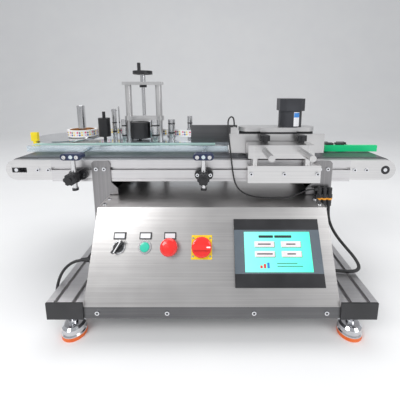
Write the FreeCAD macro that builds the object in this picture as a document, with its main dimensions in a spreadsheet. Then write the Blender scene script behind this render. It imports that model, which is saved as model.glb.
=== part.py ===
import FreeCAD, Part
import math
import os
import Sketcher

# Bottle labelling machine, in millimetres. X runs along the conveyor, +Y to the back, +Z up.
# The origin is on the floor, under the middle of the machine's box.

SIZES = {
    # base rails and feet
    "railWidth": 80, "railHeight": 40, "railFront": -276, "railBack": 176, "railSlot": 8.2,
    "railSlotDepth": 12, "railSlotPitch": 40, "capThick": 4, "footHeight": 64, "footRadius": 27,
    "footPad": 14, "footCup": 16, "studRadius": 6, "footInset": 28, "footHole": 6.3,
    # cabinet
    "cabinetWidth": 562, "cabinetMiddle": 55.5, "cabinetHeight": 211, "cabinetBack": 110,
    "slopeTopFront": -168, "flangeHeight": 28, "sheetThick": 2, "trayThick": 3,
    # conveyor
    "beltWidth": 100, "beltThick": 2, "beltGap": 2, "beltMiddle": -13, "sideThick": 18,
    "sideHeight": 60, "sideBottom": 313, "conveyorMiddle": 25, "axleSpan": 1006,
    "plateRadius": 28, "plateLength": 124, "axleRadius": 5, "bearingRadius": 12,
    "bearingFit": 0.05, "runFit": 0.05, "rollerGap": 0.3, "bedThick": 3, "takeupSlot": 40,
    "takeupHeight": 14, "sideSlot": 8, "sideSlotDepth": 7, "tieRadius": 7,
    # legs that carry the conveyor on the rails
    "legThick": 4, "legWidth": 50, "legFlare": 18, "legInset": 45, "legChamfer": 6,
    # guide rails
    "guideThick": 10, "frontRailStart": -486.5, "frontRailEnd": 102.5, "frontRailFace": -10,
    "frontRailBottom": 382, "frontRailHeight": 17, "rearRailStart": -503.5, "rearRailEnd": 65.5,
    "rearRailFace": 42, "rearRailBottom": 376.5, "rearRailHeight": 17.5, "exitRailStart": 395.5,
    "exitRailEnd": 553.5, "exitRailFace": 5, "exitRailBottom": 377, "exitRailHeight": 19,
    "postRadius": 6, "armRadius": 5, "frontArmHeight": 390, "frontPostY": -110,
    "frontPostBottom": 305, "clampTop": 398.5, "clampWidth": 54, "clampDepth": 24, "leftBracket": -306.5, "rightBracket": 33.5,
    "bracketWidth": 50, "bracketHeight": 27, "bracketMiddle": 334, "clampHeight": 17, "bossHalf": 9, "bossRadius": 11, "flangeThick": 10,
    "bracketKnob": 15.5, "bracketKnobThick": 12, "flangeBolt": 17.5, "clampBolt": 16,
    "rearArmRadius": 3.5, "rearArmHeight": 380.5, "exitArmHeight": 388,
    # wrap station
    "standStart": 149.5, "standEnd": 341.5, "standBottom": 317, "standHeight": 47,
    "standDepth": 27, "pillarRadius": 9.2, "leftPillar": 169, "rightPillar": 308.5,
    "clampBlockStart": 150.5, "clampBlockEnd": 323.7, "clampBlockBottom": 382,
    "clampBlockTop": 418, "clampBlockBack": -50, "clampBlockFront": -105, "shaftRadius": 8,
    "leftShaft": 194, "rightShaft": 289, "shaftHeight": 402, "shaftFront": -187,
    "plateStart": 103.5, "plateEnd": 372, "plateBottom": 384, "plateTop": 438,
    "plateFront": -45, "wrapPlateThick": 8, "coverRadius": 28.5, "coverThick": 12,
    "coverBottom": 444, "leftWrapAxis": 161.5, "rightWrapAxis": 322.5, "floorThick": 5,
    "wrapFloorBottom": 380, "wrapBeltOuter": 27, "wrapBeltThick": 2, "wrapAxle": 5,
    "motorX": 282, "motorRadius": 32.5, "motorHeight": 46, "motorCap": 34, "motorCapWidth": 70,
    "knobRadius": 14, "knobHeight": 20, "knobStem": 4, "leftKnob": 200, "rightKnob": 300,
    "knobY": -66,
    # label deck
    "deckStart": -318, "deckEnd": 136.5, "deckFront": 62, "deckBack": 280, "deckTop": 394,
    "deckThick": 8, "trayX": -450, "trayY": 153, "reelTrayRadius": 108, "reelTrayThick": 4,
    "reelTrayTop": 400, "reelX": -402.5, "mandrelRadius": 13, "mandrelTop": 508,
    "rollRadius": 48.5, "coreRadius": 38, "rollHeight": 23, "rollBottom": 403,
    "idlerX": -306.5, "idlerY": 110, "idlerRadius": 19, "idlerBottom": 407, "idlerTop": 469,
    "spindleRadius": 5, "spindleTop": 490, "columnLeft": -230, "columnRight": -127,
    "pressY": 143, "columnRadius": 11, "pressTop": 588, "pressPlateThick": 10,
    "pressPlateWidth": 131, "pressPlateDepth": 44, "screwX": -178.6, "screwRadius": 6,
    "crossBottom": 458, "crossThick": 15, "wheelRadius": 32.5, "wheelHeight": 613,
    "wheelThick": 11, "hubRadius": 9, "wheelWindow": 6, "handleTop": 648, "handleRadius": 5.5,
    "tractionX": -190, "tractionY": 118, "tractionRadius": 30.8, "tractionBottom": 400,
    "tractionTop": 455, "pinchRadius": 11, "ringedX": -128.5, "ringedY": 78,
    "ringedRadius": 13, "ringedTop": 466, "ringHeight": 443, "peelStart": -12, "peelFront": 66,
    "peelThick": 6, "peelTop": 450, "webThick": 0.6, "webBottom": 401.5, "webHeight": 24,
    # control panel, measured down the sloped front from its top edge
    "buttonDown": 91, "selectorX": -162.5, "greenX": -101.5, "stopX": -43.5,
    "isolatorX": 31.5, "stopRadius": 20, "isolatorRadius": 23, "buttonHole": 11.2, "bezelRadius": 15, "bezelHeight": 3,
    "legendUp": 25, "legendWidth": 28, "legendHeight": 16, "isolatorPlate": 48,
    "hmiX": 207.5, "hmiWidth": 200.4, "hmiHeight": 146.5, "hmiDown": 101.5, "hmiProud": 7,
    "hmiDepth": 32,
    # cords
    "mainsRadius": 3.5, "harnessRadius": 4, "sensorCordRadius": 2, "coilMiddle": 40,
    "glandX": -243.5, "glandY": -190, "glandZ": 145,
}

doc = FreeCAD.newDocument("bottle_labelling_machine")
sheet = doc.addObject("Spreadsheet::Sheet", "Sizes")
for row, (alias, value) in enumerate(SIZES.items(), start=1):
    sheet.set("A%d" % row, alias)
    sheet.set("B%d" % row, str(value))
    sheet.setAlias("B%d" % row, alias)
doc.recompute()


class Size:
    """A number with the sheet expression that it comes from."""

    def __init__(self, number, text):
        self.number = number
        self.text = text

    @staticmethod
    def of(value):
        return value if isinstance(value, Size) else Size(float(value), repr(float(value)))

    def join(self, other, sign, number):
        return Size(number, "(%s %s %s)" % (self.text, sign, other.text))

    def __add__(self, other):
        other = Size.of(other)
        return self.join(other, "+", self.number + other.number)

    def __radd__(self, other):
        return Size.of(other) + self

    def __sub__(self, other):
        other = Size.of(other)
        return self.join(other, "-", self.number - other.number)

    def __rsub__(self, other):
        return Size.of(other) - self

    def __mul__(self, other):
        other = Size.of(other)
        return self.join(other, "*", self.number * other.number)

    __rmul__ = __mul__

    def __truediv__(self, other):
        other = Size.of(other)
        return self.join(other, "/", self.number / other.number)

    def __neg__(self):
        return Size.of(0) - self


class SheetSizes:
    """Each alias of the sheet as a Size."""

    def __getattr__(self, alias):
        return Size(float(sheet.get(alias)), "Sizes." + alias)


d = SheetSizes()
made = {}


def bind(thing, **values):
    """Set properties of a document object from sizes."""
    for name, value in values.items():
        thing.setExpression(name.replace("__", "."), Size.of(value).text)
    return thing


def put(thing, x, y, z):
    """Place an object by its origin, without turning it."""
    return bind(thing, Placement__Base__x=x, Placement__Base__y=y, Placement__Base__z=z)


TURNS = {"X": FreeCAD.Rotation(FreeCAD.Vector(0, 1, 0), 90),
         "Y": FreeCAD.Rotation(FreeCAD.Vector(1, 0, 0), -90),
         "Z": FreeCAD.Rotation()}


def box(x0, x1, y0, y1, z0, z1):
    """A block between two corners."""
    block = doc.addObject("Part::Box", "Block")
    x0, y0, z0 = Size.of(x0), Size.of(y0), Size.of(z0)
    bind(block, Length=x1 - x0, Width=y1 - y0, Height=z1 - z0)
    return put(block, x0, y0, z0)


def rod(x, y, z, radius, length, axis="Z"):
    """A cylinder that starts at a point and runs along +axis."""
    cylinder = doc.addObject("Part::Cylinder", "Rod")
    cylinder.Placement = FreeCAD.Placement(FreeCAD.Vector(), TURNS[axis])
    bind(cylinder, Radius=radius, Height=length)
    return put(cylinder, x, y, z)


def join(*pieces):
    """Several shapes made one solid."""
    fused = doc.addObject("Part::MultiFuse", "Joined")
    fused.Shapes = list(pieces)
    fused.Refine = True
    return fused


def cut(base, *tools):
    """A shape with others taken out of it."""
    for tool in tools:
        less = doc.addObject("Part::Cut", "Less")
        less.Base = base
        less.Tool = tool
        base = less
    return base


def group(*pieces):
    """Separate solids kept together as one sub-part."""
    together = doc.addObject("Part::Compound", "Group")
    together.Links = list(pieces)
    return together


def keep(label, thing):
    """Name a finished sub-part."""
    thing.Label = label
    made[label] = thing
    return thing


def origin_plane(body, role):
    for feature in body.Origin.OriginFeatures:
        if feature.Role == role:
            return feature
    raise ValueError(role)


def polygon_sketch(body, role, corners, offset):
    """A closed outline whose every corner is held to the sheet."""
    sketch = body.newObject("Sketcher::SketchObject", "Outline")
    sketch.AttachmentSupport = [(origin_plane(body, role), "")]
    sketch.MapMode = "FlatFace"
    bind(sketch, AttachmentOffset__Base__z=offset)
    corners = [(Size.of(u), Size.of(v)) for u, v in corners]
    spots = [FreeCAD.Vector(u.number, v.number, 0) for u, v in corners]
    count = len(spots)
    for i in range(count):
        sketch.addGeometry(Part.LineSegment(spots[i], spots[(i + 1) % count]), False)
    for i in range(count):
        sketch.addConstraint(Sketcher.Constraint("Coincident", i, 2, (i + 1) % count, 1))
    for i, (u, v) in enumerate(corners):
        for kind, value in (("DistanceX", u), ("DistanceY", v)):
            held = sketch.addConstraint(Sketcher.Constraint(kind, -1, 1, i, 1, value.number))
            sketch.setExpression("Constraints[%d]" % held, value.text)
    return sketch


def prism(role, corners, start, length):
    """A body padded from an outline on an origin plane, from start along the plane's normal.
    On YZ_Plane the corners are (y, z), on XY_Plane (x, y), and on XZ_Plane (x, z) and the
    pad runs towards -Y from start."""
    body = doc.addObject("PartDesign::Body", "Pad")
    sketch = polygon_sketch(body, role, corners, start)
    pad = body.newObject("PartDesign::Pad", "Length")
    pad.Profile = sketch
    bind(pad, Length=length)
    return body


def turned(x, y, profile):
    """A body revolved about a vertical axis at (x, y) from (radius, z) corners."""
    body = doc.addObject("PartDesign::Body", "Turned")
    sketch = polygon_sketch(body, "XZ_Plane", profile, 0)
    spin = body.newObject("PartDesign::Revolution", "Spin")
    spin.Profile = sketch
    spin.ReferenceAxis = (sketch, ["V_Axis"])
    spin.Angle = 360
    return put(body, x, y, 0)


def slab_xz(corners, y0, y1):
    """An (x, z) outline made solid from y0 to y1."""
    y0, y1 = Size.of(y0), Size.of(y1)
    return prism("XZ_Plane", corners, -y1, y1 - y0)


def stadium(x0, x1, y, z, radius, length, axis):
    """A long round-ended bar: two cylinders along axis and the block between them."""
    if axis == "Y":
        middle = box(x0, x1, y, y + length, z - radius, z + radius)
    else:
        middle = box(x0, x1, y - radius, y + radius, z, z + length)
    return join(middle, rod(x0, y, z, radius, length, axis), rod(x1, y, z, radius, length, axis))


def ring(x, y, z, outer, inner, length, axis="Z"):
    return cut(rod(x, y, z, outer, length, axis), rod(x, y, z, inner, length, axis))


def tee_slot(u, v, along, inward, mouth, depth):
    """Corners of a T-slot met while walking along an edge, about the point (u, v)."""
    lip = depth / 4
    wide = mouth * 0.85
    steps = [(-mouth / 2, 0), (-mouth / 2, lip), (-wide, lip), (-wide, depth),
             (wide, depth), (wide, lip), (mouth / 2, lip), (mouth / 2, 0)]
    return [(u + a * along[0] + b * inward[0], v + a * along[1] + b * inward[1])
            for a, b in steps]


# Places that several pieces share
railTop = d.footHeight + d.railHeight
cabinetLeft = d.cabinetMiddle - d.cabinetWidth / 2
cabinetRight = d.cabinetMiddle + d.cabinetWidth / 2
cabinetTop = d.footHeight + d.cabinetHeight
trayTop = d.footHeight + d.trayThick
flangeTop = d.footHeight + d.flangeHeight
railStarts = {"left": cabinetLeft - d.railWidth, "right": cabinetRight}
railMiddles = {"left": cabinetLeft - d.railWidth / 2, "right": cabinetRight + d.railWidth / 2}
beltFront = d.beltMiddle - d.beltWidth / 2
beltBack = d.beltMiddle + d.beltWidth / 2
innerFront = beltFront - d.beltGap
innerBack = beltBack + d.beltGap
faceFront = innerFront - d.sideThick
faceBack = innerBack + d.sideThick
sideTop = d.sideBottom + d.sideHeight
axleZ = sideTop - d.plateRadius
tailX = d.conveyorMiddle - d.axleSpan / 2
driveX = d.conveyorMiddle + d.axleSpan / 2
slotZ = axleZ + 4
wrapY = d.plateFront + d.wrapPlateThick + d.coverRadius
deckBottom = d.deckTop - d.deckThick
slopeRun = d.slopeTopFront - d.railFront
slopeRise = cabinetTop - flangeTop
slopeLength = Size(math.hypot(slopeRun.number, slopeRise.number),
                   "sqrt(%s ^ 2 + %s ^ 2)" % (slopeRun.text, slopeRise.text))
slopeAngle = math.degrees(math.atan2(slopeRise.number, slopeRun.number))


# Base rails, end caps and feet
def rail_outline(x):
    right = x + d.railWidth
    left_slot = x + d.railWidth / 2 - d.railSlotPitch / 2
    right_slot = x + d.railWidth / 2 + d.railSlotPitch / 2
    middle = d.footHeight + d.railHeight / 2
    mouth, deep = d.railSlot, d.railSlotDepth
    corners = [(x, d.footHeight)]
    for slot in (left_slot, right_slot):
        corners += tee_slot(slot, d.footHeight, (1, 0), (0, 1), mouth, deep)
    corners.append((right, d.footHeight))
    corners += tee_slot(right, middle, (0, 1), (-1, 0), mouth, deep)
    corners.append((right, railTop))
    for slot in (right_slot, left_slot):
        corners += tee_slot(slot, railTop, (-1, 0), (0, -1), mouth, deep)
    corners.append((x, railTop))
    corners += tee_slot(x, middle, (0, -1), (1, 0), mouth, deep)
    return corners


footSpots = {}
for side, x in railMiddles.items():
    footSpots["foot_front_" + side] = (x, d.railFront + d.footInset)
    footSpots["foot_back_" + side] = (x, d.railBack - d.footInset)

rails = []
caps = []
for side, x in railStarts.items():
    beam = slab_xz(rail_outline(x), d.railFront, d.railBack)
    holes = [rod(spot[0], spot[1], d.footHeight, d.footHole, d.studRadius * 2)
             for name, spot in footSpots.items() if name.endswith(side)]
    rails.append(cut(beam, *holes))
    for y in (d.railFront - d.capThick, d.railBack):
        caps.append(box(x, x + d.railWidth, y, y + d.capThick, d.footHeight, railTop))
keep("base_rails", group(*rails))
keep("rail_end_caps", group(*caps))

for name, (x, y) in footSpots.items():
    cup = d.footRadius - 2
    neck = d.studRadius + 4
    cupTop = d.footPad + d.footCup
    nut = d.footHeight - 9
    profile = [(0, 0), (d.footRadius, 0), (d.footRadius, d.footPad - 3), (cup, d.footPad),
               (cup, cupTop - 5), (cup - 5, cupTop), (neck, cupTop), (neck - 1, cupTop + 7),
               (d.studRadius, cupTop + 7), (d.studRadius, nut), (neck + 1, nut),
               (neck + 1, d.footHeight), (d.studRadius, d.footHeight),
               (d.studRadius, d.footHeight + d.studRadius), (0, d.footHeight + d.studRadius)]
    keep(name, turned(x, y, profile))


# Cabinet
tray = join(box(cabinetLeft, cabinetRight, d.railFront, d.cabinetBack, d.footHeight, trayTop),
            box(cabinetLeft, cabinetRight, d.railFront, d.railFront + d.trayThick,
                d.footHeight, flangeTop))
keep("cabinet_base_tray", tray)

behindFlange = d.railFront + d.trayThick
slopeInset = d.sheetThick * slopeLength / slopeRise
insideTop = cabinetTop - d.sheetThick
outside = [(behindFlange, trayTop), (behindFlange, flangeTop), (d.railFront, flangeTop),
           (d.slopeTopFront, cabinetTop), (d.cabinetBack, cabinetTop), (d.cabinetBack, trayTop)]
clear = d.railFront - 5
inside = [(clear, d.footHeight - 5), (clear, flangeTop), (d.railFront + slopeInset, flangeTop),
          (d.slopeTopFront + slopeInset - d.sheetThick * slopeRun / slopeRise, insideTop),
          (d.cabinetBack - d.sheetThick, insideTop),
          (d.cabinetBack - d.sheetThick, d.footHeight - 5)]
hull = prism("YZ_Plane", outside, cabinetLeft, d.cabinetWidth)
hollow = prism("YZ_Plane", inside, cabinetLeft + d.sheetThick,
               d.cabinetWidth - d.sheetThick * 2)


def on_panel(thing, x, down, out):
    """Stand a shape on the sloped front: x along it, down from its top edge, out from it."""
    thing.Placement = FreeCAD.Placement(FreeCAD.Vector(),
                                        FreeCAD.Rotation(FreeCAD.Vector(1, 0, 0), slopeAngle))
    down, out = Size.of(down), Size.of(out)
    y = d.slopeTopFront - down * slopeRun / slopeLength - out * slopeRise / slopeLength
    z = cabinetTop - down * slopeRise / slopeLength + out * slopeRun / slopeLength
    return put(thing, x, y, z)


def panel_rod(x, down, out, radius, length):
    cylinder = doc.addObject("Part::Cylinder", "Rod")
    bind(cylinder, Radius=radius, Height=length)
    return on_panel(cylinder, x, down, out)


def panel_box(x, down, width, height, out, thick):
    block = doc.addObject("Part::Box", "Block")
    bind(block, Length=width, Width=height, Height=thick)
    return on_panel(block, x - width / 2, down + height / 2, out)


def panel_turned(x, down, profile):
    """A revolved piece on the sloped front, from (radius, height over the front) corners."""
    thing = turned(0, 0, profile)
    return on_panel(thing, x, down, 0)


def panel_bar(x, down, length, width, out, thick, degrees):
    """A bar centred on a point of the sloped front and turned in its plane."""
    block = doc.addObject("Part::Box", "Bar")
    bind(block, Length=length, Width=width, Height=thick)
    turn = math.radians(degrees)
    across = (-length * math.cos(turn) + width * math.sin(turn)) / 2
    up = (-length * math.sin(turn) - width * math.cos(turn)) / 2
    on_panel(block, x + across, Size.of(down) - up, out)
    block.Placement.Rotation = block.Placement.Rotation * FreeCAD.Rotation(
        FreeCAD.Vector(0, 0, 1), degrees)
    return block


buttons = {"selector": d.selectorX, "green": d.greenX, "stop": d.stopX, "isolator": d.isolatorX}
panelHoles = [panel_rod(x, d.buttonDown, -15, d.buttonHole, 30) for x in buttons.values()]
hmiHole = panel_box(d.hmiX, d.hmiDown, d.hmiWidth - 10, d.hmiHeight - 10, -15, 30)
glandHole = rod(cabinetLeft - 5, d.glandY, d.glandZ, 5, 12, "X")
harnessY = Size.of(-179)
harnessZ = railTop + 9
harnessHole = rod(cabinetRight - 7, harnessY, harnessZ, 5, 12, "X")
keep("cabinet_shell", cut(hull, hollow, hmiHole, glandHole, harnessHole, *panelHoles))

screen = join(panel_box(d.hmiX, d.hmiDown, d.hmiWidth, d.hmiHeight, 0, d.hmiProud),
              panel_box(d.hmiX, d.hmiDown, d.hmiWidth - 10, d.hmiHeight - 10,
                        -d.hmiDepth, d.hmiDepth))
keep("hmi_panel", screen)

surrounds = []
for name in ("selector", "green", "stop"):
    x = buttons[name]
    surrounds.append(cut(panel_rod(x, d.buttonDown, 0, d.bezelRadius, d.bezelHeight),
                         panel_rod(x, d.buttonDown, 0, d.buttonHole, d.bezelHeight)))
    surrounds.append(panel_box(x, d.buttonDown - d.legendUp, d.legendWidth, d.legendHeight,
                               0, d.bezelHeight))
plate = panel_box(d.isolatorX, d.buttonDown, d.isolatorPlate, d.isolatorPlate + 5, 0,
                  d.sheetThick)
surrounds.append(cut(plate, panel_rod(d.isolatorX, d.buttonDown, 0, d.buttonHole, d.sheetThick)))
keep("control_surrounds", group(*surrounds))

stem = d.buttonHole - 0.3
knob = join(panel_turned(d.selectorX, d.buttonDown,
                         [(0, -12), (stem, -12), (stem, 8), (stem - 1, 9.5), (0, 10)]),
            panel_bar(d.selectorX, d.buttonDown, 33, 7, 8.5, 7.5, 50))
keep("selector_knob", knob)
cap = panel_turned(d.greenX, d.buttonDown, [(0, -12), (stem, -12), (stem, 4.6), (stem - 0.7, 5.6),
                                            (stem - 3, 6.2), (0, 6.5)])
keep("green_button", cap)
head = d.stopRadius
mushroom = panel_turned(d.stopX, d.buttonDown,
                        [(0, -12), (stem, -12), (stem, 8), (stem + 2, 12), (head - 0.8, 12.4),
                         (head, 13.4), (head, 17.5), (head - 1.2, 20.5), (head - 4.5, 23),
                         (head - 10, 24.6), (0, 25.4)])
keep("estop_button", mushroom)
head = d.isolatorRadius
isolator = join(panel_turned(d.isolatorX, d.buttonDown,
                             [(0, -12), (stem, -12), (stem, 4), (head, 4), (head, 10.5),
                              (head - 1.2, 12.4), (head - 4, 13.4), (0, 13.6)]),
                panel_bar(d.isolatorX, d.buttonDown, 43, 11, 12, 12, 0))
keep("isolator_knob", isolator)

supply = box(-150, -40, -90, 69, trayTop, trayTop + 50)
controller = box(0, 130, -60, 30, trayTop, trayTop + 70)
driveOne = box(170, 210, -70, 48, trayTop, trayTop + 86)
driveTwo = box(230, 270, -70, 48, trayTop, trayTop + 86)
keep("control_electronics", group(supply, controller, driveOne, driveTwo))


# Conveyor
def side_outline(outer, into):
    """(y, z) outline of a side profile with its T-slot in the outer face."""
    inner = outer + d.sideThick * into
    slot = tee_slot(outer, slotZ, (0, 1), (into, 0), d.sideSlot, d.sideSlotDepth)
    groove = d.sideBottom + 7
    return ([(inner, d.sideBottom), (outer, d.sideBottom), (outer, groove - 1),
             (outer + into, groove), (outer, groove + 1)] + slot
            + [(outer, sideTop), (inner, sideTop)])


sideStart = tailX - d.plateRadius + d.plateLength
sideEnd = driveX + d.plateRadius - d.plateLength
sides = [prism("YZ_Plane", side_outline(outer, into), sideStart, sideEnd - sideStart)
         for outer, into in ((faceFront, 1), (faceBack, -1))]
bed = box(sideStart - 45, sideEnd + 45, innerFront, innerBack, sideTop - d.bedThick, sideTop)
ties = [rod(d.conveyorMiddle + offset, innerFront, d.sideBottom + 25, d.tieRadius,
            innerBack - innerFront, "Y") for offset in (-280, 0, 280)]
keep("conveyor_frame", group(*sides, bed, *ties))

plates = []
bearings = []
plateBottom = axleZ - d.plateRadius
for outer in (faceFront, innerBack):
    tail = join(box(tailX, sideStart, outer, outer + d.sideThick, plateBottom, sideTop),
                rod(tailX, outer, axleZ, d.plateRadius, d.sideThick, "Y"))
    half = d.takeupHeight / 2
    slotStart = tailX - 11
    takeup = box(slotStart, slotStart + d.takeupSlot, outer, outer + d.sideThick,
                 axleZ - half, axleZ + half)
    plates.append(cut(tail, takeup))
    carrier = box(tailX - 8, tailX + 8, outer, outer + d.sideThick, axleZ - half, axleZ + half)
    bearings.append(cut(carrier, rod(tailX, outer, axleZ, d.axleRadius + d.runFit,
                                     d.sideThick, "Y")))
    drive = join(box(sideEnd, driveX, outer, outer + d.sideThick, plateBottom, sideTop),
                 rod(driveX, outer, axleZ, d.plateRadius, d.sideThick, "Y"))
    plates.append(cut(drive, rod(driveX, outer, axleZ, d.bearingRadius, d.sideThick, "Y")))
    bearings.append(ring(driveX, outer, axleZ, d.bearingRadius, d.axleRadius + d.runFit,
                         d.sideThick, "Y"))
keep("conveyor_end_plates", group(*plates))
keep("bearing_blocks", group(*bearings))

beltOuter = d.plateRadius + d.beltThick
belt = cut(stadium(tailX, driveX, beltFront, axleZ, beltOuter, d.beltWidth, "Y"),
           stadium(tailX, driveX, beltFront, axleZ, d.plateRadius, d.beltWidth, "Y"))
keep("conveyor_belt", belt)

rollerRadius = d.plateRadius - d.rollerGap
drum = join(rod(driveX, innerFront + 1, axleZ, rollerRadius, innerBack - innerFront - 2, "Y"),
            rod(driveX, faceFront, axleZ, d.axleRadius, faceBack - faceFront + 20, "Y"))
keep("drive_roller", drum)
drum = join(rod(tailX, innerFront + 1, axleZ, rollerRadius, innerBack - innerFront - 2, "Y"),
            rod(tailX, faceFront, axleZ, d.axleRadius, faceBack - faceFront, "Y"))
keep("tail_roller", drum)


def gear_motor_y(x, y, z):
    gearbox = box(x - 30, x + 30, y, y + 40, z - 30, z + 30)
    can = join(gearbox, rod(x, y + 40, z, 27, 62, "Y"), rod(x, y + 102, z, 22, 6, "Y"))
    return cut(can, rod(x, y, z, d.axleRadius + d.runFit, 22, "Y"))


def gear_motor_down(x, y, z):
    gearbox = box(x - 30, x + 30, y - 30, y + 30, z - 40, z)
    can = join(gearbox, rod(x, y, z - 98, 27, 58), rod(x, y, z - 103, 22, 5))
    return cut(can, rod(x, y, z - 22, d.axleRadius + d.runFit, 22))


keep("drive_motors", group(gear_motor_y(driveX, faceBack, axleZ),
                           gear_motor_down(d.tractionX, d.tractionY, deckBottom)))

legs = []
legOuters = {"left": (cabinetLeft - d.legInset, 1), "right": (cabinetRight + d.legInset, -1)}
bendZ = d.sideBottom - 19
clearTop = cabinetTop + 2
for outer, into in legOuters.values():
    inner = outer + d.legWidth * into
    flare = inner + d.legFlare * into
    narrow = outer + (d.legInset - 0.5) * into
    tab = d.legChamfer * into
    corners = [(outer, railTop), (narrow, railTop), (narrow, clearTop), (flare, clearTop),
               (flare, bendZ), (inner, bendZ + d.legFlare), (inner, sideTop - 8),
               (inner - tab, sideTop - 2), (outer + tab, sideTop - 2), (outer, sideTop - 8)]
    web = outer + d.legThick * into
    low, high = (outer, web) if into > 0 else (web, outer)
    footLow, footHigh = (outer, narrow) if into > 0 else (narrow, outer)
    backEdge = faceBack + d.legThick
    frontEdge = faceFront - d.legThick
    legs.append(join(slab_xz(corners, frontEdge, faceFront),
                     slab_xz(corners, faceBack, backEdge),
                     box(low, high, frontEdge, backEdge, railTop, d.sideBottom - 3),
                     box(footLow, footHigh, frontEdge, backEdge, railTop,
                         railTop + d.legThick)))
keep("conveyor_legs", group(*legs))


# Guide rails and their brackets
frontRailBack = d.frontRailFace - d.guideThick
flangeFace = faceFront - d.flangeThick
clampLow = d.clampTop - d.clampHeight
clampFront = d.frontPostY - d.clampDepth / 2
brackets = []
clamps = []
frontArms = []
for x in (d.leftBracket, d.rightBracket):
    low = d.bracketMiddle - d.bracketHeight / 2
    radius = d.bracketHeight / 2
    half = d.bracketWidth / 2 - radius
    flange = stadium(x - half, x + half, flangeFace, d.bracketMiddle, radius, d.flangeThick, "Y")
    boss = join(flange, rod(x, d.frontPostY, low, d.bossRadius, d.bracketHeight),
                box(x - d.bossHalf, x + d.bossHalf, d.frontPostY, flangeFace, low,
                    low + d.bracketHeight))
    brackets.append(cut(boss, rod(x, d.frontPostY, low, d.postRadius + d.runFit,
                                  d.bracketHeight)))
    knobFace = d.frontPostY - d.bossRadius - 5
    stem = rod(x, knobFace, d.bracketMiddle, 4.5, 6, "Y")
    head = rod(x, knobFace - d.bracketKnobThick, d.bracketMiddle, d.bracketKnob,
               d.bracketKnobThick, "Y")
    dents = []
    for step in range(6):
        turn = math.radians(30 + 60 * step)
        reach = d.bracketKnob + 2.5
        dents.append(rod(x + reach * math.cos(turn), knobFace - d.bracketKnobThick,
                         d.bracketMiddle + reach * math.sin(turn), 5, d.bracketKnobThick, "Y"))
    cap = rod(x, knobFace - d.bracketKnobThick - 2.5, d.bracketMiddle, 6, 3, "Y")
    brackets.append(join(cut(head, *dents), stem, cap))
    middle = d.clampTop - d.clampHeight / 2
    ends = d.clampWidth / 2 - d.clampHeight / 2
    block = stadium(x - ends, x + ends, clampFront, middle, d.clampHeight / 2, d.clampDepth, "Y")
    post = rod(x, d.frontPostY, d.frontPostBottom, d.postRadius, clampLow + 2 - d.frontPostBottom)
    clamps.append(cut(join(block, post),
                      rod(x, clampFront, d.frontArmHeight, d.armRadius + d.runFit, d.clampDepth,
                          "Y")))
    clamps += [cut(rod(x + side * d.clampBolt, clampFront - 3, d.frontArmHeight, 5, 3, "Y"),
                   rod(x + side * d.clampBolt, clampFront - 3, d.frontArmHeight, 2.5, 1.5, "Y"))
               for side in (-1, 1)]
    clamps.append(rod(x, d.frontPostY, d.frontPostBottom - 7, d.postRadius + 2, 7))
    frontArms.append(rod(x, clampFront, d.frontArmHeight, d.armRadius,
                         frontRailBack - clampFront, "Y"))
keep("front_guide_clamps", group(*clamps))

frontRail = cut(box(d.frontRailStart, d.frontRailEnd, frontRailBack, d.frontRailFace,
                    d.frontRailBottom, d.frontRailBottom + d.frontRailHeight),
                box(d.frontRailStart, d.frontRailEnd, frontRailBack, frontRailBack + 2,
                    d.frontRailBottom + 6, d.frontRailBottom + 11))
keep("front_guide_rail", group(frontRail, *frontArms))


def rear_guide(start, end, face, bottom, height, armZ, spots):
    """A rail with a wear strip on its bottle side, on arms that slide in rear blocks."""
    strip = box(start, end, face, face + 3, bottom, bottom + height)
    carrier = box(start, end, face + 3, face + d.guideThick, bottom, bottom + height)
    arms = [rod(x, face + d.guideThick, armZ, d.rearArmRadius,
                faceBack + 40 - face - d.guideThick, "Y") for x in spots]
    for x in spots:
        block = box(x - 12, x + 12, faceBack, faceBack + 18, slotZ, armZ + 7)
        brackets.append(cut(block, rod(x, faceBack, armZ, d.rearArmRadius + d.runFit, 18, "Y")))
    return [strip, carrier] + arms


rearSpots = (d.rearRailStart + 30, d.rearRailStart + 140)
rear = rear_guide(d.rearRailStart, d.rearRailEnd, d.rearRailFace, d.rearRailBottom,
                  d.rearRailHeight, d.rearArmHeight, rearSpots)
keep("rear_guide_rail", group(*rear))
exitSpots = (d.exitRailStart + 24, d.exitRailStart + 78)
exitTop = d.exitRailBottom + d.exitRailHeight
leaving = rear_guide(d.exitRailStart, d.exitRailEnd, d.exitRailFace, d.exitRailBottom,
                     d.exitRailHeight, d.exitArmHeight, exitSpots)
jaws = [box(d.exitRailStart + 4 + step, d.exitRailStart + 28 + step, d.exitRailFace + 4,
            d.exitRailFace + 18, exitTop, exitTop + 6) for step in (0, 32)]
keep("exit_guide_rail", group(*leaving, *jaws))
keep("guide_brackets", group(*brackets))


# Wrap station
standTop = d.standBottom + d.standHeight
pillarY = faceFront - d.standDepth / 2
pillars = [rod(x, pillarY, standTop, d.pillarRadius, d.clampBlockTop - standTop)
           for x in (d.leftPillar, d.rightPillar)]
stand = join(box(d.standStart, d.standEnd, faceFront - d.standDepth, faceFront,
                 d.standBottom, standTop), *pillars)
rebate = box(d.standEnd - 11, d.standEnd, faceFront - d.legThick, faceFront,
             d.standBottom, standTop)
keep("wrap_stand", cut(stand, rebate))

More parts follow.
